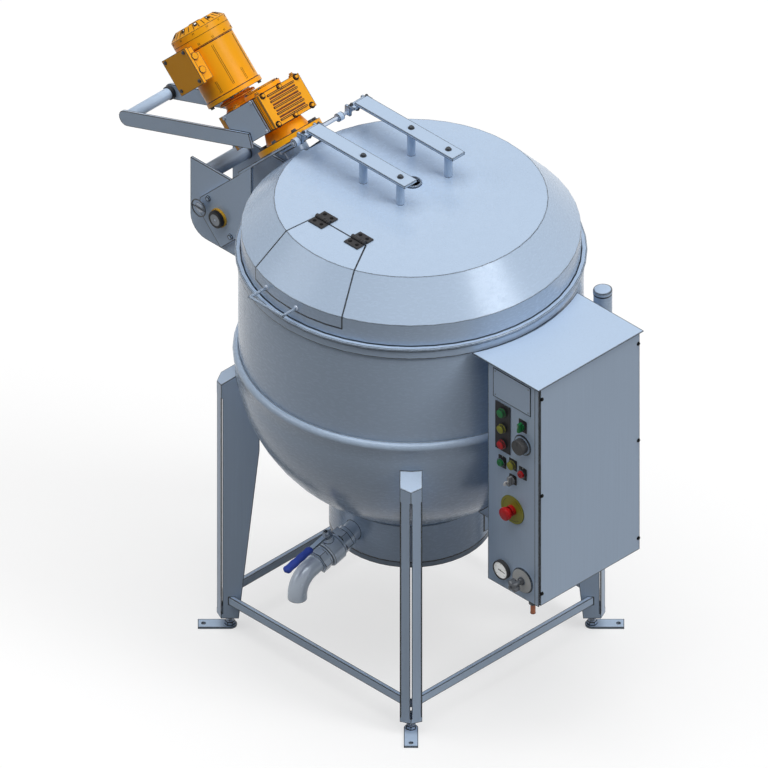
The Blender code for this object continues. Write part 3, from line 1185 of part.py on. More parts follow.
def lift_handle(looks, body):
    """Side plates on the gear case, two arms and the cross tube, welded into one."""
    parts = []
    tip, root = Vector((ARM_TIP_X, ARM_TIP_Z)), Vector((ARM_ROOT_X, ARM_ROOT_Z))
    ahead = (root - tip).normalized()
    aside = Vector((-ahead.y, ahead.x)) * ARM_HALF_WIDTH
    tilt = math.degrees(math.atan2(ahead.y, ahead.x))
    outline = arc(tip.x, tip.y, ARM_HALF_WIDTH, tilt + 90, tilt + 270, 8)
    outline += [tuple(root - aside), tuple(root + aside)]
    case_face = CASE_HALF_WIDTH + FIT
    arm_start = SWING_INNER_Y
    for side in (-1, 1):
        edges = sorted((side * case_face, side * (arm_start + WELD)))
        plate = block((-SIDE_PLATE_START, edges[0], NECK_TOP), (SIDE_PLATE_END, edges[1], CASE_TOP))
        parts.append(moved(plate, DRIVE))
        edges = sorted((side * arm_start, side * (arm_start + ARM_PLATE)))
        parts.append(prism(outline, edges[0], edges[1], "Y"))
    inner = arm_start + WELD
    tube = across(HANDLE_TUBE_RADIUS, ARM_TIP_X, ARM_TIP_Z, -inner, inner, 20)
    piece(join(tube, *parts), "lift_handle", looks["steel"], body, (PIVOT_X, 0, PIVOT_Z))


def tool_sizes():
    """The tool's centre on the drive axis and its scraping radius, from bowl and axis."""
    bowl_centre = DRIVE.inverted() @ Vector((0, 0, BOWL_CENTRE_Z))
    radius = WALL_INNER_RADIUS - abs(bowl_centre.x) - SCRAPER_GAP
    return bowl_centre.z, radius


def mixer_tool(looks, body):
    """Shaft with an anchor frame that follows the bowl, and its scraper strip."""
    centre, reach = tool_sizes()
    outer = reach - SCRAPER_DEPTH - FIT
    inner = outer - TOOL_BAR_DEPTH
    half = TOOL_HALF_WIDTH
    hoop_outline = arc(0, centre, outer, 180, 360, TOOL_STEPS) + arc(0, centre, inner, 360, 180, TOOL_STEPS)
    hoop = prism(hoop_outline, -half, half, "Y")
    bar_half = TOOL_BAR_DEPTH / 2
    bar = block((-outer + WELD, -half, centre - bar_half), (outer - WELD, half, centre + bar_half))
    keel = block((-bar_half, -half, centre - inner - WELD), (bar_half, half, centre))
    hub = cylinder(TOOL_HUB_RADIUS, centre - TOOL_HUB_HALF_HEIGHT, centre + TOOL_HUB_HALF_HEIGHT, 20)
    shaft = cylinder(SHAFT_RADIUS, centre, SHAFT_TOP, 20)
    made = join(shaft, hub, bar, keel, hoop)
    origin = (FLANGE_X, 0, FLANGE_Z)
    piece(moved(made, DRIVE), "agitator_frame", looks["steel"], body, origin)

    half_span = 90 * SCRAPER_STEPS / TOOL_STEPS
    start, end = 270 - half_span, 270 + half_span
    strip_outline = arc(0, centre, reach, start, end, SCRAPER_STEPS)
    strip_outline += arc(0, centre, outer + FIT * 1.05, end, start, SCRAPER_STEPS)
    strip = prism(strip_outline, -SCRAPER_HALF_WIDTH, SCRAPER_HALF_WIDTH, "Y")
    piece(moved(strip, DRIVE), "scraper_strip", looks["white"], body, origin)


def lid_body():
    """The lid's whole shell before the hatch and the shaft's notch are cut."""
    sheet = LID_SHEET
    low = RIM_Z + FIT
    slope = math.atan2(LID_TOP_Z - LID_SKIRT_TOP_Z, LID_SKIRT_RADIUS - LID_TOP_RADIUS)
    inset = sheet * math.tan((math.pi / 2 - slope) / 2)
    lean = sheet * math.tan(slope / 2)
    profile = [
        (LID_SKIRT_RADIUS, low), (LID_SKIRT_RADIUS, LID_SKIRT_TOP_Z), (LID_TOP_RADIUS, LID_TOP_Z), (0, LID_TOP_Z),
        (0, LID_TOP_Z - sheet), (LID_TOP_RADIUS - lean, LID_TOP_Z - sheet),
        (LID_SKIRT_RADIUS - sheet, LID_SKIRT_TOP_Z - inset), (LID_SKIRT_RADIUS - sheet, low),
    ]
    return turned(profile, BIG_SIDES)


def hatch_form(inset, low):
    """The upright prism that cuts the hatch out of the lid, drawn in by an inset."""
    left, right = HATCH_SHOULDER_LEFT, HATCH_SHOULDER_RIGHT
    reach = -LID_SKIRT_RADIUS - OVERRUN
    outline = [
        (HATCH_HINGE_LEFT + inset, HATCH_HINGE_Y - inset), (HATCH_HINGE_RIGHT - inset, HATCH_HINGE_Y - inset),
        (right[0] - inset, right[1]), (HATCH_EDGE_X - inset, HATCH_EDGE_Y), (HATCH_EDGE_X - inset, reach),
        (-HATCH_EDGE_X + inset, reach), (-HATCH_EDGE_X + inset, HATCH_EDGE_Y), (left[0] + inset, left[1]),
    ]
    return prism(outline, low, LID_TOP_Z + 2 * OVERRUN)


def lid(looks, lid_frame, hatch_frame):
    """Lid shell, carrying arms, hatch with its handle, and the hatch's hinges."""
    origin = (LID_ROD_X, 0, LID_ROD_Z)
    notch = block((-LID_SKIRT_RADIUS - OVERRUN, -LID_NOTCH_HALF_WIDTH, RIM_Z - OVERRUN),
                  (LID_NOTCH_INNER_X, LID_NOTCH_HALF_WIDTH, LID_TOP_Z + OVERRUN))
    vent_top = LID_TOP_Z + VENT_HEIGHT
    collar = cylinder_at(VENT_RADIUS, VENT_X, VENT_Y, LID_TOP_Z - LID_SHEET, vent_top)
    vent = cylinder_at(VENT_RADIUS - VENT_WALL, VENT_X, VENT_Y, LID_TOP_Z - OVERRUN, vent_top + OVERRUN)
    made = cut(join(lid_body(), collar), vent, notch, hatch_form(0, HATCH_LOW_Z))
    piece(made, "lid_shell", looks["steel"], lid_frame, origin)

    for name, y in zip(("near", "far"), LID_BAR_Y):
        bar_low = LID_BAR_TOP_Z - LID_BAR_THICKNESS
        bar = block((LID_BAR_START_X, y - LID_BAR_HALF_WIDTH, bar_low),
                    (LID_BAR_END_X, y + LID_BAR_HALF_WIDTH, LID_BAR_TOP_Z))
        parts = []
        for x in LID_POST_X:
            parts.append(cylinder_at(LID_POST_RADIUS, x, y, LID_TOP_Z + FIT, bar_low + WELD))
            parts.append(cylinder_at(LID_BOLT_RADIUS, x, y, LID_BAR_TOP_Z - WELD,
                                     LID_BAR_TOP_Z + LID_BOLT_HEIGHT, HEX_SIDES))
        half = KNUCKLE_BLOCK_HALF_WIDTH
        outline = arc(LID_ROD_X, LID_ROD_Z, half, 180, 360, 8)
        outline += [(LID_ROD_X + half, bar_low + WELD), (LID_ROD_X + half, LID_BAR_TOP_Z),
                    (LID_ROD_X - half, LID_BAR_TOP_Z)]
        parts.append(prism(outline, y - KNUCKLE_BLOCK_HALF_LENGTH, y + KNUCKLE_BLOCK_HALF_LENGTH, "Y"))
        made = join(bar, *parts)
        made = cut(made, across(LID_ROD_RADIUS + RUN, LID_ROD_X, LID_ROD_Z, y - 3 * LID_BAR_HALF_WIDTH,
                                y + 3 * LID_BAR_HALF_WIDTH))
        piece(made, f"lid_arm_{name}", looks["steel"], lid_frame, origin)

    axis_z = LID_TOP_Z + HATCH_AXIS_RISE
    hatch_origin = (0, HATCH_HINGE_Y, axis_z)
    panel = common(lid_body(), hatch_form(HATCH_GAP, HATCH_LOW_Z + HATCH_GAP))
    parts = []
    outer = -LID_SKIRT_RADIUS - HATCH_HANDLE_REACH + HATCH_HANDLE_RADIUS
    ends = []
    for side in (-1, 1):
        x = HATCH_HANDLE_X + side * (HATCH_HANDLE_HALF_LENGTH - HATCH_HANDLE_RADIUS)
        ends.append(x)
        inner = -math.sqrt(LID_SKIRT_RADIUS ** 2 - x ** 2) + LID_SHEET / 2
        parts.append(rod(HATCH_HANDLE_RADIUS, (x, inner, HATCH_HANDLE_Z), (x, outer, HATCH_HANDLE_Z), 10))
    cross = HATCH_HANDLE_RADIUS * 0.97
    parts.append(rod(cross, (ends[0] - cross, outer, HATCH_HANDLE_Z), (ends[1] + cross, outer, HATCH_HANDLE_Z), 10))
    middle = HINGE_HALF_WIDTH * KNUCKLE_SHARE
    for x in HINGE_X:
        parts.append(rod(KNUCKLE_RADIUS, (x - middle, HATCH_HINGE_Y, axis_z), (x + middle, HATCH_HINGE_Y, axis_z), 12))
        parts.append(block((x - middle, HATCH_HINGE_Y - HINGE_LEAF_DEPTH, LID_TOP_Z - LID_SHEET / 2),
                           (x + middle, HATCH_HINGE_Y - HATCH_GAP * 2, LID_TOP_Z + HINGE_LEAF)))
    piece(join(panel, *parts), "hatch_panel", looks["steel"], hatch_frame, hatch_origin)

    for name, x in zip(("left", "right"), HINGE_X):
        floor = LID_TOP_Z + FIT
        leaf = block((x - HINGE_HALF_WIDTH, HATCH_HINGE_Y, floor),
                     (x + HINGE_HALF_WIDTH, HATCH_HINGE_Y + HINGE_LEAF_DEPTH, floor + HINGE_LEAF))
        gap = block((x - middle - RUN, HATCH_HINGE_Y - OVERRUN, LID_TOP_Z),
                    (x + middle + RUN, HATCH_HINGE_Y + KNUCKLE_RADIUS + RUN, axis_z + OVERRUN))
        knuckle = rod(KNUCKLE_RADIUS - FIT, (x - HINGE_HALF_WIDTH, HATCH_HINGE_Y, axis_z),
                      (x + HINGE_HALF_WIDTH, HATCH_HINGE_Y, axis_z), 12)
        piece(cut(join(leaf, knuckle), gap), f"hatch_hinge_{name}", looks["black"], lid_frame, origin)


def centre_on_floor(root):
    """Put the middle of the whole assembly's floor box on the origin."""
    bpy.context.view_layer.update()
    corners = []
    for made in bpy.data.objects:
        if made.type == "MESH":
            corners += [made.matrix_world @ vert.co for vert in made.data.vertices]
    low = Vector(min(c[i] for c in corners) for i in range(3))
    high = Vector(max(c[i] for c in corners) for i in range(3))
    root.location = (-(low.x + high.x) / 2, -(low.y + high.y) / 2, -low.z)


def build():
    for old in list(bpy.data.objects):
        bpy.data.objects.remove(old)
    looks = {
        "steel": material("stainless_steel", (0.52, 0.58, 0.65), 0.32, 0.9),
        "dark": material("heater_steel", (0.30, 0.32, 0.35), 0.45, 0.8),
        "orange": material("orange_enamel", (0.93, 0.43, 0.03), 0.40, 0.0),
        "blue": material("blue_grip", (0.05, 0.09, 0.45), 0.5, 0.0),
        "copper": material("copper", (0.50, 0.24, 0.15), 0.35, 0.9),
        "black": material("black_plastic", (0.03, 0.03, 0.035), 0.45, 0.0),
        "green": material("green_plastic", (0.02, 0.32, 0.10), 0.35, 0.0),
        "yellow": material("yellow_plastic", (0.60, 0.56, 0.06), 0.35, 0.0),
        "red": material("red_plastic", (0.70, 0.02, 0.03), 0.35, 0.0),
        "grey": material("grey_plastic", (0.55, 0.55, 0.55), 0.45, 0.0),
        "white": material("white_plastic", (0.85, 0.85, 0.82), 0.5, 0.0),
    }
    root = empty("kettle", (0, 0, 0))
    stem_place = DRAIN_ORIGIN + DRAIN_DIRECTION * valve_middle()
    valve = empty("valve_turn", stem_place, root)
    swing = empty("mixer_lift", (PIVOT_X, 0, PIVOT_Z), root)
    tool = empty("agitator_spin", (FLANGE_X, 0, FLANGE_Z), swing)
    fan_place = DRIVE @ Vector((-CENTRE_DISTANCE, 0, CASE_TOP))
    fan = empty("motor_fan_spin", fan_place, swing)
    pin = empty("lock_pin_slide", (LOCK_PIN_X, 0, LOCK_PIN_Z), swing)
    lid_frame = empty("lid_hinge", (LID_ROD_X, 0, LID_ROD_Z), swing)
    hatch = empty("hatch_hinge", (0, HATCH_HINGE_Y, LID_TOP_Z + HATCH_AXIS_RISE), lid_frame)
    controls = {
        "start_button": START_PLACE, "stop_button": STOP_PLACE, "mode_selector": SELECTOR_PLACE,
        "key_switch": KEY_PLACE, "temperature_dial": DIAL_PLACE, "emergency_stop_button": ESTOP_PLACE,
        "tap_knob": TAP_PLACE,
    }
    frames = {name: empty(f"{name}_frame", (x, PANEL_Y, z), root) for name, (x, z) in controls.items()}

    steel = looks["steel"]
    kettle_bowl(steel, root)
    jacket_shell(steel, root)
    sump_pieces(steel, looks["dark"], root)
    legs(steel, root)
    drain(steel, looks["blue"], root, valve)
    standpipe(steel, root)
    control_box(steel, looks["copper"], root)
    panel_pieces(looks, root, frames)
    mixer_bracket(steel, root)
    swing_frame(looks, swing)
    lock_pin(looks, pin)
    gearbox(looks, swing)
    motor(looks, swing, fan)
    lift_handle(looks, swing)
    mixer_tool(looks, tool)
    lid(looks, lid_frame, hatch)
    centre_on_floor(root)


def valve_middle():
    """How far along the drain's axis the valve stem stands."""
    body_start = DRAIN_PIPE_LENGTH + DRAIN_RING_LENGTH + FIT + VALVE_NUT_LENGTH + VALVE_GROOVE_LENGTH
    return body_start + VALVE_BODY_LENGTH / 2


build()
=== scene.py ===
"""Looks for the steam jacketed kettle: finishes, fasteners, seams, panel parts, light and camera.

Places are given from the kettle's own axis, which the frame's bowl and joints supply, in metres.
"""

import json
import math

import bmesh
import bpy
from mathutils import Matrix, Vector


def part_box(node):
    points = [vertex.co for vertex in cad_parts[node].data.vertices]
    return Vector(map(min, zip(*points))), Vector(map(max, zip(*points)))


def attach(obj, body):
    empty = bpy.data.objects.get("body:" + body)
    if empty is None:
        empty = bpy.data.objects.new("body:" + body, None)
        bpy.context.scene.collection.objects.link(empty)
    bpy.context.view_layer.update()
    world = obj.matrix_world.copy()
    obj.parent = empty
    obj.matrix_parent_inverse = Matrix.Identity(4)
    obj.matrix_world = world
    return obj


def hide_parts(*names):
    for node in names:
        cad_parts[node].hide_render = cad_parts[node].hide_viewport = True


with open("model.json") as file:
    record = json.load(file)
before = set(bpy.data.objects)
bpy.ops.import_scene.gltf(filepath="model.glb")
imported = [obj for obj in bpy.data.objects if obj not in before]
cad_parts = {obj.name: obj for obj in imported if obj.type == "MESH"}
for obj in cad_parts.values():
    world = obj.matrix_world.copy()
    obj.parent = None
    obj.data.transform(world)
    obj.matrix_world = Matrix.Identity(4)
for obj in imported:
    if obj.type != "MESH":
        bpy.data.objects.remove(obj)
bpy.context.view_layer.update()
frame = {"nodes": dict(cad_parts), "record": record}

# The photograph's view: an isometric drawing, with the width that 768 pixels span
VIEW_AZIMUTH = 45.0
VIEW_ELEVATION = 35.264
VIEW_WIDTH = 2.1504
VIEW_TARGET = (-0.0535, -0.0535, 0.8258)
CAMERA_DISTANCE = 12.0

# Light and surroundings: each lamp's direction, strength and size in degrees
SUNS = {"sun_above": ((0.03, -0.05, 1.0), 2.15, 60.0), "sun_right": ((0.72, 0.28, 0.63), 1.00, 24.0),
        "sun_left": ((-0.63, -0.60, 0.49), 0.32, 30.0)}
AMBIENT = 0.055
FLOOR_SIZE = 40.0
FLOOR_GAP = 0.001
FLOOR_ALBEDO = 0.11
FLOOR_GLOW = 0.62
FLOOR_SHADED = 0.40

# Finishes: the sheet steel's colour, the stretch of each grain, and the dark line along sharp edges
ROUND_GRAIN = (1, 1, 3)
UPRIGHT_GRAIN = (240, 240, 3)
PLAIN_GRAIN = (1, 1, 1)
STEEL = (0.50, 0.63, 0.81)
EDGE_WIDTH = 0.0046
FINE_EDGE = 0.0013
EDGE_COLOUR = (0.010, 0.011, 0.013)
EDGE_COSINES = (0.965, 0.999)
BROAD_SCALE = 2.2
RELIEF_DEPTH = 0.0003
SMOOTH_ANGLE = 31.0
MERGE_DISTANCE = 0.000002

# Sides and small depths that many pieces share
ROUND_SIDES = 32
WELD_RADIUS = 0.0022
WELD_RIPPLES = 240
BEAD_SIDES = 6
MM = 0.001
SMALL = 0.0004
EDGE_ROUND = 0.0006
UP = (0, 0, 1)
DOWN = (0, 0, -1)
TO_OPERATOR = (0, -1, 0)
BOTH_SIDES = ((-1, "near"), (1, "far"))

# Vessel and stand
BOWL_RADIUS = 0.484
BOWL_CENTRE_Z = 0.981
WALL_INNER_RADIUS = 0.4785
RIM_HEIGHT = 0.036
SUMP_SEAM_DROP = 0.011
STANDPIPE_RADIUS = 0.0265
STUD_REACH, STUD_RADIUS, STUD_CORE = 0.507, 0.0066, 0.0055
STUD_LOW, STUD_PITCH, STUD_TURNS = 0.0176, 0.0022, 6
STUD_NUTS = ((0.0166, 0.0176), (0.0327, 0.0317))
FLOOR_BOLT_REACH = 0.581
FOOT_THICKNESS = 0.006

# Control box and its panel
BOX_TOP_OVERHANG = 0.008
PANEL_PLATE_LOW = (0.526, 1.150)
PANEL_PLATE_HIGH = (0.674, 1.247)
PANEL_PLATE_DEPTH = 0.0012
PANEL_BORDER = 0.0016
RIVET_INSET = 0.009
FOLD_X = 0.6905
COVER_SCREW_INSET = 0.0050
COVER_SCREW_Z = (1.219, 0.888, 0.553)
LEGEND_DEPTH = 0.0004
LEGEND_STEPS = 40
SIGN_RISE = 0.0172
KEY_BOW_RADIUS, KEY_BOW_OUT, KEY_HALF = 0.0072, 0.0115, 0.0009
DIAL_TICKS, DIAL_RIBS = 19, 30
ESTOP_DOME, ESTOP_HOLE, ESTOP_PLATE_DEPTH = 0.0055, 0.0106, 0.0026
GAUGE_FACE_DROP, GAUGE_TICKS = 0.0028, 21
TAP_SIDES = 64

# Drain, valve and lever
ELBOW_BEND, ELBOW_RADIUS, ELBOW_WALL = 0.065, 0.0275, 0.0035
ELBOW_STRAIGHT, ELBOW_SOCKET, ELBOW_STEPS = 0.014, 0.030, 24
VALVE_RADIUS = 0.0338
GRIP_START, GRIP_LENGTH, GRIP_STATIONS = 0.064, 0.108, 22
GRIP_HALF_WIDTH, GRIP_HALF_HEIGHT, GRIP_RISE = 0.0128, 0.0082, 0.0610

# Hatch hinges and handle, lid arms
HINGE_HALF, HINGE_DEPTH, HINGE_GAP, HINGE_BOLT_X = 0.0270, 0.0330, 0.0074, 0.0135
HANDLE_X, HANDLE_HALF, HANDLE_Z = -0.043, 0.0645, 1.335
LID_SKIRT_RADIUS = 0.477
BAR_ENDS = (-0.350, 0.038)
BAR_TOP = 1.553
BAR_THICKNESS = 0.009
BAR_HALF_WIDTH = 0.025
BEARING_HALF = 0.036
POST_X = (-0.150, -0.003)
POST_RADIUS = 0.012

# Drive, bracket and mixer
PULL_RING_RADIUS = 0.0265
PULL_RING_WIRE = 0.0020
SIDE_PLATE_FACE = 0.0880
CASE_TOP = 0.154
COVER_FACE, COVER_LOW, COVER_MARGIN, COVER_SPAN = 0.0783, 0.045, 0.014, 0.077
SLEEVE_RADIUS = 0.0824
COWL_RADIUS = 0.0860
COWL_LINES = 30
GROOVE_START = -27.0
BRACKET_HALF = 0.0885
SCRAPER_GAP = 0.014
STRIP_BOLTS, STRIP_BOLT_INSET = 13, 0.0303


def middle(node):
    """The middle of a CAD node's box."""
    low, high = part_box(node)
    return (Vector(low) + Vector(high)) / 2


def low_of(node):
    return Vector(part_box(node)[0])


def high_of(node):
    return Vector(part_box(node)[1])


def shift(x, y, z):
    """A move along each axis."""
    return Matrix.Translation((x, y, z))


def spin(angle, axis="Z"):
    """A turn about an axis."""
    return Matrix.Rotation(angle, 4, axis)


def place(x, y, z):
    """A place given from the kettle's axis, in the row frame."""
    return AXIS + Vector((x, y, z))


joints = {joint["name"]: joint for joint in frame["record"]["behaviour"]["joints"]}
bowl = middle("kettle_bowl")
AXIS = Vector((bowl.x, bowl.y, 0))
PANEL_Y = low_of("control_box_top").y + BOX_TOP_OVERHANG
BOX_FACE_X = high_of("service_cover").x
FLANGE = Vector(joints["agitator_spin"]["pos_m"])
PIVOT = Vector(joints["mixer_lift"]["pos_m"])
LID_ROD = Vector(joints["lid_hinge"]["pos_m"])
HATCH_AXIS = Vector(joints["hatch_hinge"]["pos_m"])
LID_TOP = HATCH_AXIS.z - 0.0055
MOTOR_AXIS = Vector(joints["motor_fan_spin"]["pos_m"])
STEM = Vector(joints["valve_turn"]["pos_m"])
STEM_UP = Vector(joints["valve_turn"]["axis"])
DRAIN_WAY = Vector((0, -STEM_UP.z, STEM_UP.y))
DRIVE = shift(*FLANGE) @ spin(-math.pi / 4, "Y")
MOTOR_OFFSET = (DRIVE.inverted() @ MOTOR_AXIS).x
MOTOR = DRIVE @ shift(MOTOR_OFFSET, 0, 0)


def new_node(tree, kind, inputs=None, **settings):
    """Add a node, with values for some of its inputs and settings of its own."""
    node = tree.nodes.new(kind)
    for key, value in settings.items():
        setattr(node, key, value)
    for key, value in (inputs or {}).items():
        node.inputs[key].default_value = value
    return node


class Nodes:
    """A material's node tree, with short calls for what the finishes share."""

    def __init__(self, name):
        self.material = bpy.data.materials.new(name)
        self.material.use_nodes = True
        self.tree = self.material.node_tree
        self.shader = self.tree.nodes["Principled BSDF"]

    def add(self, kind, inputs=None, **settings):
        return new_node(self.tree, kind, inputs, **settings)

    def link(self, source, target):
        self.tree.links.new(source, target)

    def scaled(self, scale):
        """Object coordinates stretched by a scale on each axis."""
        mapping = self.add("ShaderNodeMapping", {"Scale": scale})
        self.link(self.add("ShaderNodeTexCoord").outputs["Object"], mapping.inputs["Vector"])
        return mapping.outputs["Vector"]

    def noise(self, vector, scale, detail=3.0):
        noise = self.add("ShaderNodeTexNoise", {"Scale": scale, "Detail": detail})
        self.link(vector, noise.inputs["Vector"])
        return noise.outputs["Fac"]

    def ranged(self, value, low, high, from_low=0.3, from_high=0.7):
        limits = {"From Min": from_low, "From Max": from_high, "To Min": low, "To Max": high}
        node = self.add("ShaderNodeMapRange", limits)
        self.link(value, node.inputs["Value"])
        return node.outputs["Result"]

    def mixed(self, amount, first, second):
        """Mix two colours, or a colour and a socket, by an amount."""
        node = self.add("ShaderNodeMix", data_type="RGBA")
        self.link(amount, node.inputs[0])
        for socket, value in ((node.inputs[6], first), (node.inputs[7], second)):
            if isinstance(value, tuple):
                socket.default_value = (*value, 1.0)
            else:
                self.link(value, socket)
        return node.outputs[2]

    def edges(self, width, amount):
        """A mask of the strip along the sharp edges."""
        bevel = self.add("ShaderNodeBevel", {"Radius": width}, samples=8)
        dot = self.add("ShaderNodeVectorMath", operation="DOT_PRODUCT")
        self.link(bevel.outputs["Normal"], dot.inputs[0])
        self.link(self.add("ShaderNodeNewGeometry").outputs["Normal"], dot.inputs[1])
        strength = self.add("ShaderNodeMath", {1: amount}, operation="MULTIPLY")
        self.link(self.ranged(dot.outputs["Value"], 1.0, 0.0, *EDGE_COSINES), strength.inputs[0])
        return strength.outputs[0]


def darker(colour, share):
    return tuple(part * share for part in colour)


def finish(name, colour, roughness, metallic=0.0, grain=PLAIN_GRAIN, grain_scale=60.0, spread=0.05,
           tint=0.97, edge=1.0, bump=0.02, specular=0.30, edge_width=EDGE_WIDTH):
    """A solid finish with grain in its colour and roughness, and dark lines along its edges."""
    nodes = Nodes(name)
    shader = nodes.shader
    fine = nodes.noise(nodes.scaled(grain), grain_scale, 4.0)
    broad = nodes.noise(nodes.scaled(PLAIN_GRAIN), BROAD_SCALE, 1.0)
    base = nodes.mixed(nodes.ranged(broad, 0.0, 1.0), colour, darker(colour, tint))
    base = nodes.mixed(nodes.ranged(fine, 0.0, 0.5), base, darker(colour, tint * 0.94))
    base = nodes.mixed(nodes.edges(edge_width, edge), base, EDGE_COLOUR)
    nodes.link(base, shader.inputs["Base Color"])
    nodes.link(nodes.ranged(fine, roughness - spread, roughness + spread), shader.inputs["Roughness"])
    shader.inputs["Metallic"].default_value = metallic
    shader.inputs["Specular IOR Level"].default_value = specular
    relief = nodes.add("ShaderNodeBump", {"Strength": bump, "Distance": RELIEF_DEPTH})
    nodes.link(fine, relief.inputs["Height"])
    nodes.link(relief.outputs["Normal"], shader.inputs["Normal"])
    nodes.material.diffuse_color = (*colour, 1.0)
    return nodes.material


PLASTIC = {"grain_scale": 400.0, "tint": 0.96, "edge_width": FINE_EDGE, "specular": 0.25}
ENAMEL = {"grain_scale": 240.0, "bump": 0.06, "specular": 0.2, "edge_width": 0.0032}
looks = {
    "steel_round": finish("steel_round", STEEL, 0.26, 0.04, ROUND_GRAIN, 60.0),
    "steel_upright": finish("steel_upright", STEEL, 0.34, 0.04, UPRIGHT_GRAIN, 1.0),
    "steel_plain": finish("steel_plain", STEEL, 0.32, 0.04, PLAIN_GRAIN, 140.0),
    # A lighter copy of the steel for the drain and valve parts: painted highlight
    "steel_painted_highlight": finish("steel_painted_highlight", (0.72, 0.82, 0.95), 0.24, 0.10, PLAIN_GRAIN, 60.0, edge_width=0.0030),
    "steel_bright": finish("steel_bright", (0.56, 0.64, 0.76), 0.28, 0.20, PLAIN_GRAIN, 200.0, edge_width=FINE_EDGE),
    "steel_dark": finish("steel_dark", (0.07, 0.08, 0.095), 0.42, 0.20, PLAIN_GRAIN, 90.0, edge_width=FINE_EDGE),
    "orange": finish("orange_enamel", (1.0, 0.425, 0.007), 0.38, **ENAMEL),
    "tap_steel": finish("tap_steel", (0.13, 0.14, 0.155), 0.30, 0.25, PLAIN_GRAIN, 200.0, edge_width=0.0016),
    "heater": finish("heater_steel", darker(STEEL, 0.42), 0.36, 0.10, PLAIN_GRAIN, 120.0),
    "knob_steel": finish("knob_steel", (0.30, 0.33, 0.37), 0.34, 0.20, PLAIN_GRAIN, 200.0, edge_width=FINE_EDGE),
    "amber": finish("amber_plastic", (0.72, 0.40, 0.03), 0.42, **PLASTIC),
    # Dark brown for the strips on the gearbox cover: painted shade of the ridges' shadowed sides
    "recess_shade": finish("recess_shade_paint", (0.20, 0.055, 0.012), 0.50, **ENAMEL),
    "blue": finish("blue_grip", (0.030, 0.070, 0.42), 0.48, grain_scale=500.0, bump=0.1, edge_width=0.0022),
    "copper": finish("copper_pipe", (0.42, 0.15, 0.08), 0.40, 0.3, (1, 1, 30), 20.0, edge_width=0.0022),
    "black": finish("black_plastic", (0.014, 0.014, 0.016), 0.50, **PLASTIC),
    "charcoal": finish("charcoal_plastic", (0.075, 0.075, 0.078), 0.45, **PLASTIC),
    "hinge_black": finish("hinge_black", (0.030, 0.029, 0.031), 0.45, **PLASTIC),
    "green": finish("green_plastic", (0.010, 0.21, 0.055), 0.40, **PLASTIC),
    "yellow": finish("yellow_plastic", (0.33, 0.33, 0.035), 0.42, **PLASTIC),
    "red": finish("red_plastic", (0.58, 0.010, 0.014), 0.38, **PLASTIC),
    "grey": finish("grey_plastic", (0.36, 0.37, 0.39), 0.45, **PLASTIC),
    "white": finish("white_plastic", (0.76, 0.77, 0.76), 0.45, **PLASTIC),
    "mark": finish("white_mark", (0.80, 0.80, 0.79), 0.50, edge=0.0, grain_scale=300.0),
    "ink": finish("black_ink", (0.008, 0.008, 0.009), 0.60, edge=0.0, grain_scale=300.0, specular=0.1),
    "weld": finish("weld_bead", darker(STEEL, 0.50), 0.42, 0.1, PLAIN_GRAIN, 260.0, edge=0.4,
                   edge_width=FINE_EDGE),
}


def glass():
    """Clear gauge glass."""
    nodes = Nodes("gauge_glass")
    shader = nodes.shader
    shader.inputs["Base Color"].default_value = (1, 1, 1, 1)
    shader.inputs["Transmission Weight"].default_value = 1.0
    shader.inputs["IOR"].default_value = 1.25
    smear = nodes.noise(nodes.scaled(PLAIN_GRAIN), 120.0)
    nodes.link(nodes.ranged(smear, 0.03, 0.10), shader.inputs["Roughness"])
    return nodes.material


looks["glass"] = glass()


def solid(bm, name):
    """Turn a bmesh into an object in the scene."""
    bmesh.ops.recalc_face_normals(bm, faces=bm.faces)
    mesh = bpy.data.meshes.new(name)
    bm.to_mesh(mesh)
    bm.free()
    made = bpy.data.objects.new(name, mesh)
    bpy.context.collection.objects.link(made)
    return made


def shown(bm, name, look, body, smooth=35.0):
    """Make a piece of a bmesh: shading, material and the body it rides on."""
    made = solid(bm, name)
    made.data.materials.append(looks[look])
    made.data.shade_smooth()
    made.data.set_sharp_from_angle(angle=math.radians(smooth))
    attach(made, body)
    return made


def around(count, phase=0.0):
    """Cosines and sines at even steps round a circle."""
    return [(math.cos(phase + math.tau * k / count), math.sin(phase + math.tau * k / count)) for k in range(count)]


def add_turned(bm, profile, sides, matrix, phase=0.0):
    """Add a closed profile of (radius, height) points, spun round the matrix's Z."""
    rings = []
    for radius, height in profile:
        rings.append([bm.verts.new(matrix @ Vector((radius * c, radius * s, height)))
                      for c, s in around(1 if radius == 0 else sides, phase)])
    for i, ring in enumerate(rings):
        after = rings[(i + 1) % len(rings)]
        if len(ring) == 1 and len(after) == 1:
            continue
        for k in range(sides):
            n = (k + 1) % sides
            corners = [ring[k % len(ring)], ring[n % len(ring)], after[n % len(after)], after[k % len(after)]]
            bm.faces.new(list(dict.fromkeys(corners)))


def add_block(bm, low, high, matrix=Matrix.Identity(4), edge=EDGE_ROUND):
    """Add a box between two corners, its edges broken by a small chamfer."""
    made = bmesh.ops.create_cube(bm, size=1)["verts"]
    for vert in made:
        vert.co = Vector(low[i] if vert.co[i] < 0 else high[i] for i in range(3))
    edges = list({e for v in made for e in v.link_edges})
    result = bmesh.ops.bevel(bm, geom=edges, offset=edge, segments=1, affect="EDGES", profile=0.7)
    verts = set(result["verts"]) | {v for v in made if v.is_valid}
    bmesh.ops.transform(bm, matrix=matrix, verts=list(verts))


def add_prism(bm, outline, low, high, matrix=Matrix.Identity(4)):
    """Add an outline on the matrix's X-Y plane, drawn out along its Z."""
    start = [bm.verts.new(matrix @ Vector((a, b, low))) for a, b in outline]
    end = [bm.verts.new(matrix @ Vector((a, b, high))) for a, b in outline]
    bm.faces.new(start)
    bm.faces.new(end)
    for i in range(len(outline)):
        j = (i + 1) % len(outline)
        bm.faces.new((start[i], start[j], end[j], end[i]))


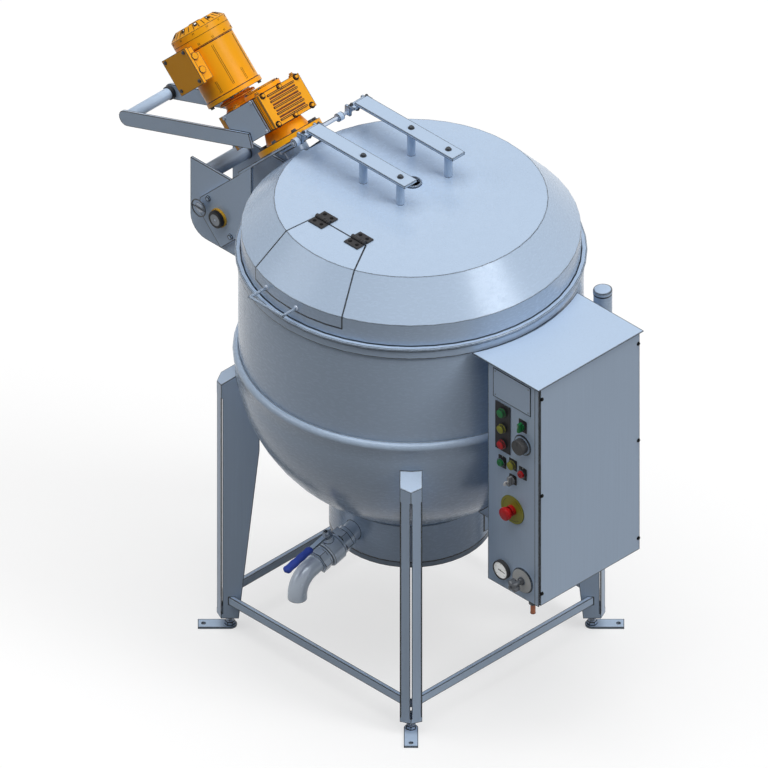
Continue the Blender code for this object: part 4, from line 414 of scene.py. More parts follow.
def facing(point, direction):
    """A frame at a point whose Z looks along a direction."""
    return shift(*point) @ Vector(direction).to_track_quat("Z", "Y").to_matrix().to_4x4()


def bolt_profile(radius, height):
    """A bolt head's half outline, with its chamfered top."""
    return [(0, 0), (radius, 0), (radius, height * 0.8), (radius * 0.86, height), (radius * 0.45, height),
            (radius * 0.40, height * 0.93), (0, height * 0.93)]


def washer_profile(radius, height):
    return [(0, 0), (radius, 0), (radius, height * 0.6), (radius * 0.94, height), (0, height)]


def tube(inner, outer, low, high):
    """The profile of a square ring, or of a disc where the inner radius is zero."""
    return [(inner, low), (outer, low), (outer, high), (inner, high)]


# Fasteners, in millimetres: head radius and height, whether a washer lies under it, its sides, look and body
FASTENERS = {
    "heater_flange_bolts": (7.5, 6, False, 6, "steel_bright", "frame"),
    "name_plate_rivets": (2.6, 1.4, False, 16, "steel_bright", "frame"),
    "service_cover_screws": (4.5, 2.8, True, 18, "ink", "frame"),
    "tap_screw": (4, 1.8, False, 18, "steel_dark", "tap"),
    "lever_stem_nut": (10, 8.5, True, 6, "steel_bright", "valve"),
    "hatch_leaf_bolts": (4.2, 1.2, True, 6, "ink", "hatch"),
    "hatch_hinge_bolts": (4.2, 1.2, True, 6, "ink", "lid"),
    "arm_bearing_bolts": (4.5, 4.5, True, 6, "steel_dark", "lid"),
    "arm_bearing_nuts": (7.5, 8, True, 6, "steel_dark", "lid"),
    "arm_bolts": (7.2, 5, True, 6, "steel_dark", "lid"),
    "side_plate_bolts": (6.5, 5, False, 6, "steel_bright", "swing"),
    "flange_bolts": (7.5, 6, True, 6, "steel_dark", "swing"),
    "rear_boss_bolts": (4.2, 3.5, False, 6, "steel_dark", "swing"),
    "motor_shield_bolts": (5.8, 5, True, 6, "steel_dark", "swing"),
    "case_top_bolts": (6.2, 5, True, 6, "orange", "swing"),
    "terminal_lid_screws": (4.5, 3.5, True, 16, "steel_dark", "swing"),
    "scraper_bolts": (6, 5, True, 6, "steel_dark", "agitator"),
}

# Turned pieces: look, body, sides, smoothing angle, and the profile as (radius, height) in millimetres
TURNED = {
    "foot_hole_rim": ("ink", "frame", 20, 35, [(5, -1), (5, 0.3), (6.4, 0.3), (6.8, -1)]),
    "button_bezel": ("black", "frame", 32, 25, [(11.2, 0), (15, 0), (15, 4.5), (14.2, 6.5), (11.2, 6.5)]),
    "knob_bezel": ("black", "frame", 32, 25, [(12.1, 0), (14.6, 0), (14.6, 3.5), (13.8, 5), (12.1, 5)]),
    "tap_disc_face": ("white", "frame", 48, 25, tube(12.5, 37.2, 3.8, 4.6)),
    "lever_stem_tip": ("steel_dark", "valve", 20, 35, [(0, 0), (5.2, 0), (5.2, 4), (4.2, 5), (0, 5)]),
    "stem_packing_ring": ("steel_dark", "frame", 24, 35, tube(8.5, 12.5, 0, 2.2)),
    "vent_lip": ("steel_plain", "lid", 36, 35,
                 [(21.2, -4), (26.2, -4), (26.6, -1), (25, 1), (22.5, 1), (21.2, -1)]),
    "handle_foot": ("steel_bright", "hatch", 24, 50, [(3, -1), (8.5, -1), (8, 1.2), (5.2, 4.2), (3, 4.2)]),
    "pivot_knob_ring": ("amber", "swing", 40, 35,
                        [(25.5, -18), (29, -18), (29, -12.5), (27.5, -10.5), (25.5, -10.5)]),
    "pivot_knob_rim": ("black", "swing", 40, 35, [(18.5, -1), (25, -1), (23.5, 1.6), (19.5, 2), (18.5, 1.2)]),
    "pivot_knob_face": ("knob_steel", "swing", 40, 35, [(5, -1), (18.4, -1), (18.4, 0.9), (6.5, 0.8), (5, 0.2)]),
    "pivot_knob_centre": ("steel_bright", "swing", 24, 35, tube(0, 4.8, -1, 0.6)),
    "handle_black_ring": ("black", "swing", 32, 35, tube(16.5, 20.5, -5.2, 5.2)),
    "rear_boss_cap": ("orange", "swing", 40, 35,
                      [(0, -1), (48, -1), (48, 3), (45, 5), (20, 5), (18, 3.5), (0, 3.5)]),
    "adapter_collar": ("orange", "swing", 40, 35, [(43, -6), (56, -6), (56, 0), (50, 4), (43, 4)]),
    "adapter_foot": ("orange", "swing", 40, 35, [(43, 0), (50, 0), (46, 6), (43, 8)]),
    # A black sheet just under the cowl's slots: painted shade seen through them
    "cowl_slot_shade": ("black", "swing", 40, 35,
                   [(0, 411.5), (59, 411.5), (78, 396), (78, 394.5), (57.5, 410), (0, 410)]),
    "cowl_hub": ("orange", "swing", 32, 35, [(0, 0), (18, 0), (17.5, 1.6), (12, 2.2), (0, 2.2)]),
    "shaft_collar": ("steel_bright", "agitator", 36, 35, [(19.5, -20), (30, -20), (30, 0), (28, 3), (19.5, 3)]),
}

# Legend plates: the control each lies under, its hole's radius, its width and its height
LEGENDS = {
    "start_legend": ("start_button", 0.0130, 0.031, 0.040), "stop_legend": ("stop_button", 0.0130, 0.031, 0.040),
    "selector_legend": ("mode_selector", 0.0135, 0.032, 0.041),
    "indicator_legend": ("indicator_lamp", 0.0140, 0.031, 0.036), "key_legend": ("key_switch", 0.0135, 0.029, 0.031),
}


def bolts(kind, points, direction, suffix=""):
    """Hex bolts or round screws of one kind, all in one piece."""
    radius, height, washer, sides, look, body = FASTENERS[kind]
    radius, height = radius * MM, height * MM
    bm = bmesh.new()
    for k, point in enumerate(points):
        seat = facing(Vector(point) - Vector(direction).normalized() * SMALL, direction)
        rise = 0.0
        if washer:
            rise = radius * 0.22 + SMALL
            add_turned(bm, washer_profile(radius * 1.35, rise), 20, seat)
        add_turned(bm, bolt_profile(radius, height), sides, seat @ shift(0, 0, rise), 0.35 * k)
    return shown(bm, kind + suffix, look, body, 30)


def box_piece(name, boxes, look, body, matrix=Matrix.Identity(4), edge=EDGE_ROUND):
    """A piece of boxes, each given by two corners."""
    bm = bmesh.new()
    for low, high in boxes:
        add_block(bm, low, high, matrix, edge)
    return shown(bm, name, look, body)


def turned_piece(name, profile, matrix, look, body, sides=ROUND_SIDES, smooth=35.0):
    bm = bmesh.new()
    add_turned(bm, profile, sides, matrix)
    return shown(bm, name, look, body, smooth)


def turned(kind, matrix, name=None):
    """A turned piece of a kind from the table."""
    look, body, sides, smooth, profile = TURNED[kind]
    return turned_piece(name or kind, [(r * MM, h * MM) for r, h in profile], matrix, look, body, sides, smooth)


def ring_of(count, radius, centre, start=0.0):
    """Places round a circle on a frame's X-Y plane."""
    return [centre @ Vector((radius * c, radius * s, 0)) for c, s in around(count, start)]


def arc(radius, start, end, steps):
    """Points on an arc about the origin, between two angles in degrees."""
    angles = [math.radians(start + (end - start) * k / steps) for k in range(steps + 1)]
    return [(radius * math.cos(a), radius * math.sin(a)) for a in angles]


def add_skin(bm, rows, looped=False):
    """Join rows of points, each closed on itself. The end rows are capped, or joined when looped."""
    pairs = list(zip(rows, rows[1:] + rows[:1]))
    for row, after in pairs if looped else pairs[:-1]:
        for k in range(len(row)):
            n = (k + 1) % len(row)
            bm.faces.new((row[k], row[n], after[n], after[k]))
    if not looped:
        bm.faces.new(rows[0])
        bm.faces.new(rows[-1])


def round_row(bm, point, side, up, radius, sides):
    """A circle of points about a place, on the plane of two directions."""
    return [bm.verts.new(point + (side * c + up * s) * radius) for c, s in around(sides)]


def heading(points, i, closed=False):
    """The direction of a line of points at one of them."""
    after = (i + 1) % len(points) if closed else min(i + 1, len(points) - 1)
    before = i - 1 if closed else max(i - 1, 0)
    return (points[after] - points[before]).normalized()


def weld_ring(name, centre, radius, bead, look="weld", ripples=WELD_RIPPLES):
    """A rippled bead round a seam."""
    bm = bmesh.new()
    rows = []
    up = centre.to_3x3() @ Vector((0, 0, 1))
    for k, way in enumerate(Vector((c, s, 0)) for c, s in around(ripples)):
        swell = bead * (1.0 + 0.16 * math.cos(math.pi * k))
        rows.append(round_row(bm, centre @ (way * radius), centre.to_3x3() @ way, up, swell, BEAD_SIDES))
    add_skin(bm, rows, True)
    return shown(bm, name, look, "frame", 80)


def swept(name, points, radius, look, body, sides=12, closed=False):
    """A round wire or bead along points."""
    bm = bmesh.new()
    points = [Vector(p) for p in points]
    rows = []
    side = heading(points, 0, closed).orthogonal().normalized()
    for i, point in enumerate(points):
        ahead = heading(points, i, closed)
        side = (side - ahead * side.dot(ahead)).normalized()
        rows.append(round_row(bm, point, side, ahead.cross(side), radius, sides))
    add_skin(bm, rows, closed)
    return shown(bm, name, look, body, 50)


def on_panel(x, z, out=0.0):
    """A frame on the box's front panel, Z towards the operator, X to the right and Y up."""
    return shift(x, PANEL_Y - out, z) @ spin(math.pi / 2, "X")


class Control:
    """A panel part's middle, its back and front as distances out of the panel, depth and radius."""

    def __init__(self, node):
        low, high = low_of(node), high_of(node)
        self.centre = middle(node)
        self.back = PANEL_Y - high.y
        self.front = PANEL_Y - low.y
        self.depth = high.y - low.y
        self.radius = (high.x - low.x) / 2

    def at(self, out=0.0):
        """A frame on the part's middle, a distance out of the panel."""
        return on_panel(self.centre.x, self.centre.z, out)


def smoothing():
    """A modifier tree that joins the CAD faces, shades them smooth and keeps the real edges sharp."""
    tree = bpy.data.node_groups.new("smooth_by_angle", "GeometryNodeTree")
    tree.is_modifier = True
    for way in ("INPUT", "OUTPUT"):
        tree.interface.new_socket("Geometry", in_out=way, socket_type="NodeSocketGeometry")
    start = tree.nodes.new("NodeGroupInput")
    end = tree.nodes.new("NodeGroupOutput")
    bare = new_node(tree, "GeometryNodeRemoveAttribute", {"Name": "custom_normal"})
    merged = new_node(tree, "GeometryNodeMergeByDistance", {"Distance": MERGE_DISTANCE})
    faces = new_node(tree, "GeometryNodeSetShadeSmooth", domain="FACE")
    edges = new_node(tree, "GeometryNodeSetShadeSmooth", {"Shade Smooth": False}, domain="EDGE")
    angle = tree.nodes.new("GeometryNodeInputMeshEdgeAngle")
    wide = new_node(tree, "FunctionNodeCompare", {"B": math.radians(SMOOTH_ANGLE)}, operation="GREATER_THAN")
    tree.links.new(angle.outputs["Unsigned Angle"], wide.inputs["A"])
    tree.links.new(wide.outputs["Result"], edges.inputs["Selection"])
    chain = [start, bare, merged, faces, edges, end]
    for first, second in zip(chain, chain[1:]):
        tree.links.new(first.outputs[0], second.inputs[0])
    return tree


def dress_nodes():
    """Give every CAD node its own finish."""
    groups = {
        "steel_upright": "leg_front leg_left leg_right leg_back control_box service_cover terminal_cover",
        "steel_plain": "foot_front foot_left foot_right foot_back base_rails mixer_bracket swing_frame lift_handle "
                       "control_box_top lid_arm_near lid_arm_far valve_lever",
        "steel_round": "kettle_bowl jacket_shell steam_sump lid_shell hatch_panel standpipe seal_housing",
        "steel_painted_highlight": "drain_pipe valve_body drain_elbow valve_ball",
        "steel_bright": "agitator_frame lock_pin tap_knob pressure_gauge lid_hinge_rod", "heater": "heater_flange",
        "orange": "gearbox_housing gearbox_cover motor_body fan_cowl terminal_box",
        "blue": "lever_grip", "copper": "water_inlet_pipe", "hinge_black": "hatch_hinge_left hatch_hinge_right",
        "black": "lamp_plate temperature_dial pivot_shaft motor_fan",
        "green": "lamp_green start_button mode_selector", "red": "lamp_red stop_button emergency_stop_button",
        "yellow": "lamp_yellow indicator_lamp emergency_stop_collar", "grey": "key_switch",
        "white": "scraper_strip",
    }
    tree = smoothing()
    for look, names in groups.items():
        for name in names.split():
            node = frame["nodes"][name]
            node.data.materials.clear()
            node.data.materials.append(looks[look])
            node.modifiers.new("smooth", "NODES").node_group = tree


def vessel_details():
    """Seam beads on bowl, jacket and sump, the flange's bolts, and the standpipe's cap."""
    seam_radius = BOWL_RADIUS + SMALL
    sump = high_of("steam_sump")
    sump_radius = (sump.x - low_of("steam_sump").x) / 2
    for name, level, radius, bead in (
            ("jacket_top_weld", high_of("jacket_shell").z - SMALL, seam_radius, WELD_RADIUS),
            ("rim_ring_weld", high_of("kettle_bowl").z - RIM_HEIGHT - SMALL, seam_radius, WELD_RADIUS * 0.7),
            ("sump_weld", sump.z - SUMP_SEAM_DROP, sump_radius + 0.0005, WELD_RADIUS * 1.1)):
        weld_ring(name, shift(AXIS.x, AXIS.y, level), radius, bead)
    under = shift(AXIS.x, AXIS.y, low_of("heater_flange").z)
    bolts("heater_flange_bolts", ring_of(16, sump_radius * 0.93, under), DOWN)
    top, radius = high_of("standpipe"), STANDPIPE_RADIUS
    pipe = shift(top.x - radius, top.y - radius, top.z)
    cap = [(0, -0.012), (radius + 0.0008, -0.012), (radius + 0.0008, -0.003), (radius - 0.002, 0.0006),
           (radius * 0.6, 0.0022), (0, 0.0028)]
    turned_piece("standpipe_cap", cap, pipe, "steel_plain", "frame")
    turned_piece("standpipe_ring", tube(radius - 0.002, radius + 0.0004, -0.0145, -0.0128), pipe, "ink", "frame")


def foot_details():
    """Threads and nuts on the levelling studs, and the floor bolts' countersinks."""
    pitch, root = STUD_PITCH, STUD_RADIUS - 0.0006
    top = STUD_LOW + pitch * STUD_TURNS
    thread = [(STUD_CORE, STUD_LOW)]
    for k in range(STUD_TURNS):
        thread += [(root, STUD_LOW + pitch * k), (STUD_RADIUS, STUD_LOW + pitch * (k + 0.5))]
    thread += [(root, top), (STUD_CORE, top)]
    for name, angle in (("left", 225), ("front", 315), ("right", 45), ("back", 135)):
        way = Vector((math.cos(math.radians(angle)), math.sin(math.radians(angle)), 0))
        stud = shift(*(AXIS + way * STUD_REACH))
        bm = bmesh.new()
        add_turned(bm, thread, 20, stud)
        for wide, narrow in STUD_NUTS:
            add_turned(bm, [(0.0065, wide), (0.0122, wide), (0.0105, narrow), (0.0065, narrow)], 20, stud)
        shown(bm, f"foot_threads_{name}", "steel_bright", "frame", 20)
        hole = AXIS + way * FLOOR_BOLT_REACH
        turned("foot_hole_rim", shift(hole.x, hole.y, FOOT_THICKNESS), f"foot_hole_rim_{name}")


def box_details():
    """Name plate with its border and rivets, the cover's screws, and the open seams of the control box."""
    (left, low), (right, high) = PANEL_PLATE_LOW, PANEL_PLATE_HIGH
    x0, x1 = AXIS.x + left, AXIS.x + right
    plate = ((x0, PANEL_Y - PANEL_PLATE_DEPTH, low), (x1, PANEL_Y + SMALL, high))
    box_piece("name_plate_blank", [plate], "steel_plain", "frame")
    border, proud = PANEL_BORDER, PANEL_Y - PANEL_PLATE_DEPTH - 0.0002
    strips = [((a, proud, c), (b, PANEL_Y, d)) for a, c, b, d in (
        (x0, low, x1, low + border), (x0, high - border, x1, high), (x0, low, x0 + border, high),
        (x1 - border, low, x1, high))]
    box_piece("name_plate_border", strips, "ink", "frame", edge=0.0001)
    rivets = [(x, PANEL_Y - PANEL_PLATE_DEPTH, z) for x in (x0 + RIVET_INSET, x1 - RIVET_INSET)
              for z in (low + RIVET_INSET, high - RIVET_INSET)]
    bolts("name_plate_rivets", rivets, TO_OPERATOR)

    low_y, high_y = low_of("service_cover").y, high_of("service_cover").y
    screws = [(BOX_FACE_X, y, z) for z in COVER_SCREW_Z
              for y in (high_y - COVER_SCREW_INSET, low_y + COVER_SCREW_INSET)]
    bolts("service_cover_screws", screws, (1, 0, 0))
    seam = bmesh.new()
    add_block(seam, (BOX_FACE_X - 0.0012, low_y - 0.0046, 0.534), (BOX_FACE_X + 0.0003, low_y - 0.0006, 1.225),
              edge=0.0002)
    fold = AXIS.x + FOLD_X
    add_block(seam, (fold - 0.0007, PANEL_Y - 0.0003, 0.514), (fold + 0.0007, PANEL_Y + SMALL, 1.2555), edge=0.0001)
    shown(seam, "box_seams", "ink", "frame")


def legend(name, node, hole, width, height):
    """A thin plate round a control, with the control's hole left open."""
    outer, inner = [], []
    for c, s in around(LEGEND_STEPS, math.pi / LEGEND_STEPS):
        reach = min(width / 2 / max(abs(c), 1e-6), height / 2 / max(abs(s), 1e-6))
        outer.append((reach * c, reach * s))
        inner.append((hole * c, hole * s))
    bm = bmesh.new()
    matrix = Control(node).at()
    rows = [[bm.verts.new(matrix @ Vector((a, b, depth))) for a, b in outline]
            for outline, depth in ((outer, -SMALL), (outer, LEGEND_DEPTH), (inner, LEGEND_DEPTH), (inner, -SMALL))]
    add_skin(bm, rows, True)
    return shown(bm, name, "black", "frame", 30)


def lamp_profile(radius, depth):
    """A ribbed lens on a threaded collar."""
    crown = radius * 0.88
    points = [(0, 0), (radius, 0), (radius, depth * 0.30), (crown, depth * 0.36)]
    for k in range(4):
        low = depth * (0.40 + 0.10 * k)
        points += [(crown, low), (crown * 0.96, low + depth * 0.03), (crown, low + depth * 0.06)]
    dome = depth * 0.82
    points += [(crown * math.cos(a), dome + depth * 0.18 * math.sin(a)) for a in
               (math.radians(15 * k) for k in range(6))]
    return points + [(0, dome + depth * 0.18)]


def panel_details():
    """Lamps with lenses and collars, legend plates, and the buttons' and knobs' marks and bezels."""
    for node, look in (("lamp_green", "green"), ("lamp_yellow", "yellow"), ("lamp_red", "red"),
                       ("indicator_lamp", "yellow")):
        lamp = Control(node)
        radius, depth, seat = lamp.radius, lamp.depth, lamp.at(lamp.back)
        lens = turned_piece(f"{node}_lens", lamp_profile(radius, depth), seat, look, "frame", 32, 25)
        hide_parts(node)
        collar = [(radius * 0.9, 0), (radius * 1.10, 0), (radius * 1.10, depth * 0.16), (radius * 1.04, depth * 0.24),
                  (radius * 0.9, depth * 0.24)]
        turned_piece(f"{node}_collar", collar, seat, "black", "frame", 32, 25)

    for name, values in LEGENDS.items():
        legend(name, *values)

    for node, body in (("start_button", "start"), ("stop_button", "stop")):
        button = Control(node)
        mark, sign = bmesh.new(), bmesh.new()
        face = button.at(button.front)
        above = on_panel(button.centre.x, button.centre.z + SIGN_RISE, LEGEND_DEPTH)
        if node == "start_button":
            add_block(mark, (-0.0009, -0.0045, -SMALL), (0.0009, 0.0045, SMALL), face, 0.0002)
            add_block(sign, (-0.0009, -0.0022, -SMALL / 2), (0.0009, 0.0022, SMALL / 2), above, 0.0001)
        else:
            add_turned(mark, tube(0.0030, 0.0044, -SMALL, SMALL), 24, face)
            add_turned(sign, tube(0.0013, 0.0023, -SMALL / 2, SMALL / 2), 24, above)
        shown(mark, f"{node}_mark", "ink", body)
        turned("button_bezel", button.at(), f"{node}_bezel")
        shown(sign, f"{node}_sign", "mark", "frame")

    for node, body in (("mode_selector", "selector"), ("key_switch", "key")):
        knob = Control(node)
        pointer = ((-0.0006, 0.002, -SMALL), (0.0006, 0.0125, SMALL))
        box_piece(f"{node}_pointer", [pointer], "mark", body, knob.at(knob.front), 0.0002)
        turned("knob_bezel", knob.at(), f"{node}_bezel")


def key_details():
    """The key in its switch, a round bow on a blade."""
    switch = Control("key_switch")
    bm = bmesh.new()
    matrix = switch.at(switch.front - SMALL)
    turn = matrix @ shift(0, 0, KEY_BOW_OUT) @ spin(math.pi / 2, "Y")
    add_prism(bm, arc(KEY_BOW_RADIUS, 0, 360, 24)[:-1], -KEY_HALF, KEY_HALF, turn)
    add_block(bm, (-KEY_HALF, -0.0035, 0), (KEY_HALF, 0.0035, 0.008), matrix, 0.0003)
    shown(bm, "key", "mark", "key")


def dial_details():
    """Ticks round the temperature dial, and its knurled knob with a pointer."""
    dial = Control("temperature_dial")
    radius, depth = dial.radius, dial.depth
    bm = bmesh.new()
    for k in range(DIAL_TICKS):
        angle = math.radians(90 - (-135 + 270 * k / (DIAL_TICKS - 1)))
        inner, reach = (0.0278, 0.0304) if k % 3 else (0.0262, 0.0309)
        turn = dial.at(dial.back - 0.0004) @ spin(angle)
        add_block(bm, (inner, -0.0004, -SMALL), (reach, 0.0004, SMALL), turn, 0.0001)
    shown(bm, "dial_ticks", "ink", "frame")
    bm = bmesh.new()
    reaches = [radius * (0.985 + 0.015 * math.cos(math.pi / 2 * k)) for k in range(DIAL_RIBS * 4)]
    outline = [(reach * c, reach * s) for reach, (c, s) in zip(reaches, around(DIAL_RIBS * 4))]
    matrix = dial.at(dial.back)
    levels = [(1.0, 0.0), (1.0, 0.90), (0.98, 0.96), (0.94, 1.0), (0.80, 1.0), (0.30, 1.0)]
    add_skin(bm, [[bm.verts.new(matrix @ Vector((a * share, b * share, depth * height))) for a, b in outline]
                  for share, height in levels])
    knob = shown(bm, "dial_knob", "charcoal", "dial", 30)
    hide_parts("temperature_dial")
    pointer = ((-0.0007, radius * 0.30, depth - SMALL), (0.0007, radius * 0.86, depth + SMALL))
    box_piece("dial_pointer", [pointer], "ink", "dial", matrix, 0.0002)


def estop_details():
    """The emergency stop's mushroom cap on its neck, and the round plate behind it."""
    button, collar = Control("emergency_stop_button"), Control("emergency_stop_collar")
    shank, head, step = 0.009, 0.020, button.depth * 0.43
    crown = button.depth - ESTOP_DOME
    profile = [(0, 0), (shank, 0), (shank, step * 0.7), (shank * 1.25, step), (head * 0.82, step),
               (head * 0.97, step + 0.003), (head, step + 0.006), (head, crown)]
    profile += [(head * math.cos(a), crown + ESTOP_DOME * math.sin(a)) for a in
                (math.radians(18 * k) for k in range(1, 5))]
    profile += [(0, button.depth)]
    cap = turned_piece("emergency_stop_cap", profile, button.at(button.back), "red", "emergency_stop", 36, 25)
    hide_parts("emergency_stop_button")
    radius, hole, face = collar.radius, ESTOP_HOLE, ESTOP_PLATE_DEPTH
    plate = [(hole, 0.0003), (radius, 0.0003), (radius, 0.0020), (radius - 0.0006, face), (hole, face)]
    plate = turned_piece("emergency_stop_plate", plate, button.at(), "yellow", "frame", 56, 25)
    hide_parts("emergency_stop_collar")
    # The bore is wide enough for the cap's flare at full travel
    bore, front = 0.0122, collar.front
    neck = [(bore, 0.0024), (0.0160, 0.0024), (0.0160, front - 0.0006), (0.0154, front), (bore, front)]
    turned_piece("emergency_stop_neck", neck, button.at(), "red", "frame", 40, 25)
    bm = bmesh.new()
    for start in (10, 130, 250):
        band = arc(0.0372, start, start + 62, 10) + arc(0.0360, start + 62, start, 10)
        add_prism(bm, band, -SMALL, SMALL * 0.4, button.at(face))
    shown(bm, "emergency_stop_bands", "yellow", "frame")


def gauge_details():
    """The pressure gauge's face, ticks and hand behind its glass, and the bezel."""
    gauge = Control("pressure_gauge")
    radius, front = gauge.radius, gauge.front
    face, back = radius * 0.885, front - GAUGE_FACE_DROP
    turned_piece("gauge_face", tube(0, face, 0, 0.0004), gauge.at(back), "white", "frame", 40)
    bm = bmesh.new()
    for k in range(GAUGE_TICKS):
        angle = math.radians(225 - 270 * k / (GAUGE_TICKS - 1))
        inner, half = (0.80, 0.00025) if k % 5 else (0.70, 0.0005)
        turn = gauge.at(back + 0.0004) @ spin(angle)
        add_block(bm, (face * inner, -half, 0), (face * 0.92, half, 0.0002), turn, 0.00005)
    hand = [(-0.0080, -0.0018), (-0.0080, 0.0018), (0.019, 0.0008), (0.019, -0.0008)]
    add_prism(bm, hand, 0, 0.0003, gauge.at(back + 0.0010) @ spin(math.radians(-8)))
    add_turned(bm, washer_profile(0.0022, 0.0008), 16, gauge.at(back + 0.0008))
    shown(bm, "gauge_scale", "ink", "frame")
    bezel = [(face, 0), (radius + 0.0008, 0), (radius + 0.0008, 0.0105), (radius - 0.0006, 0.0122),
             (face + 0.0006, 0.0122), (face, 0.0112)]
    turned_piece("gauge_bezel", bezel, gauge.at(), "charcoal", "frame", 40, 25)
    turned_piece("gauge_glass", [(0, 0), (face, 0), (face, 0.0006), (face * 0.6, 0.0011), (0, 0.0013)],
                 gauge.at(front - 0.0014), "glass", "frame", 40)


def tap_details():
    """A four-lobed hand wheel with a rounded grip, in place of the plain one."""
    tap = Control("tap_knob")
    depth, matrix = tap.depth, tap.at(tap.back)
    bm = bmesh.new()
    stem = ((0, 0), (0.011, 0), (0.011, 0.16), (0.0075, 0.22), (0.0075, 0.46), (0.0125, 0.52), (0.0125, 0.56),
            (0, 0.56))
    add_turned(bm, [(radius, depth * share) for radius, share in stem], 24, matrix)
    rows = []
    for share, height in ((0.90, 0.42), (1.12, 0.47), (1.20, 0.56), (1.20, 0.84), (1.12, 0.94), (0.92, 0.985),
                          (0.4, 1.0)):
        row = []
        for k in range(TAP_SIDES):
            angle = math.tau * k / TAP_SIDES
            reach = tap.radius * share * (0.80 + 0.20 * math.cos(4 * (angle - math.pi / 4)))
            place_on = Vector((reach * math.cos(angle), reach * math.sin(angle), depth * height))
            row.append(bm.verts.new(matrix @ place_on))
        rows.append(row)
    add_skin(bm, rows)
    wheel = shown(bm, "tap_hand_wheel", "tap_steel", "tap", 45)
    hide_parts("tap_knob")
    turned("tap_disc_face", tap.at())
    bolts("tap_screw", [tap.at(tap.front).translation], TO_OPERATOR)


def drain_details():
    """A smooth elbow in place of the faceted one, and the weld at its socket."""
    low = low_of("drain_elbow")
    sweep = math.pi / 2 - math.atan2(-DRAIN_WAY.z, -DRAIN_WAY.y)
    centre = Vector((AXIS.x, low.y + ELBOW_RADIUS + ELBOW_BEND, low.z + ELBOW_STRAIGHT))
    start = centre + STEM_UP * ELBOW_BEND - DRAIN_WAY * ELBOW_SOCKET
    route = [start, start + DRAIN_WAY * ELBOW_SOCKET * 0.5]
    for k in range(ELBOW_STEPS + 1):
        angle = sweep * k / ELBOW_STEPS
        route.append(centre + (STEM_UP * math.cos(angle) + DRAIN_WAY * math.sin(angle)) * ELBOW_BEND)
    route.append(route[-1] + Vector((0, 0, -ELBOW_STRAIGHT)))
    bm = bmesh.new()
    side, order = Vector((1, 0, 0)), list(range(len(route)))
    rows = [round_row(bm, route[i], side, heading(route, i).cross(side), radius, 40)
            for radius, walk in ((ELBOW_RADIUS, order), (ELBOW_RADIUS - ELBOW_WALL, order[::-1])) for i in walk]
    add_skin(bm, rows, True)
    elbow = shown(bm, "drain_elbow_pipe", "steel_painted_highlight", "frame", 50)
    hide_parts("drain_elbow")
    weld_ring("elbow_socket_weld", facing(start + DRAIN_WAY * 0.004, DRAIN_WAY), ELBOW_RADIUS + 0.0006, 0.0016,
              "steel_painted_highlight", 90)


def lever_details():
    """The lever's contoured grip, its stem nut and the stem's tip."""
    turn = Matrix((DRAIN_WAY, STEM_UP.cross(DRAIN_WAY), STEM_UP)).transposed().to_4x4()
    matrix = shift(*STEM) @ turn
    bm = bmesh.new()
    rows = []
    for i in range(GRIP_STATIONS + 1):
        t = i / GRIP_STATIONS
        swell = 1.0 + 0.05 * math.sin(t * math.pi * 7) - 0.10 * (1 - t)
        ends = min(1.0, math.sqrt(max(0.05, 1 - max(0, (t - 0.9) / 0.1) ** 2)), 0.75 + t * 5)
        row = []
        for c, s in around(24):
            reach = swell * ends * (abs(c) ** 3 + abs(s) ** 3) ** (-1 / 3)
            row.append(bm.verts.new(matrix @ Vector((GRIP_START + GRIP_LENGTH * t, GRIP_HALF_WIDTH * c * reach,
                                                     GRIP_RISE + GRIP_HALF_HEIGHT * s * reach))))
        rows.append(row)
    add_skin(bm, rows)
    grip = shown(bm, "lever_grip_sleeve", "blue", "valve", 50)
    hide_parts("lever_grip")
    bolts("lever_stem_nut", [STEM + STEM_UP * 0.0636], STEM_UP)
    turned("lever_stem_tip", facing(STEM + STEM_UP * 0.0715, STEM_UP))


def valve_details():
    """Seams and bands round the valve's body, and the packing ring at its stem."""
    for name, along in (("valve_seam", 0.0245), ("valve_seam_back", -0.0245)):
        weld_ring(name, facing(STEM + DRAIN_WAY * along, DRAIN_WAY), 0.0342, 0.0010, "steel_dark", 80)
    bm = bmesh.new()
    for along in (-0.0160, 0.0150, 0.0190):
        add_turned(bm, tube(VALVE_RADIUS - SMALL, VALVE_RADIUS + SMALL, along, along + 0.0012), 48,
                   facing(STEM, DRAIN_WAY))
    shown(bm, "valve_bands", "ink", "frame")
    turned("stem_packing_ring", facing(STEM + STEM_UP * 0.0560, STEM_UP))


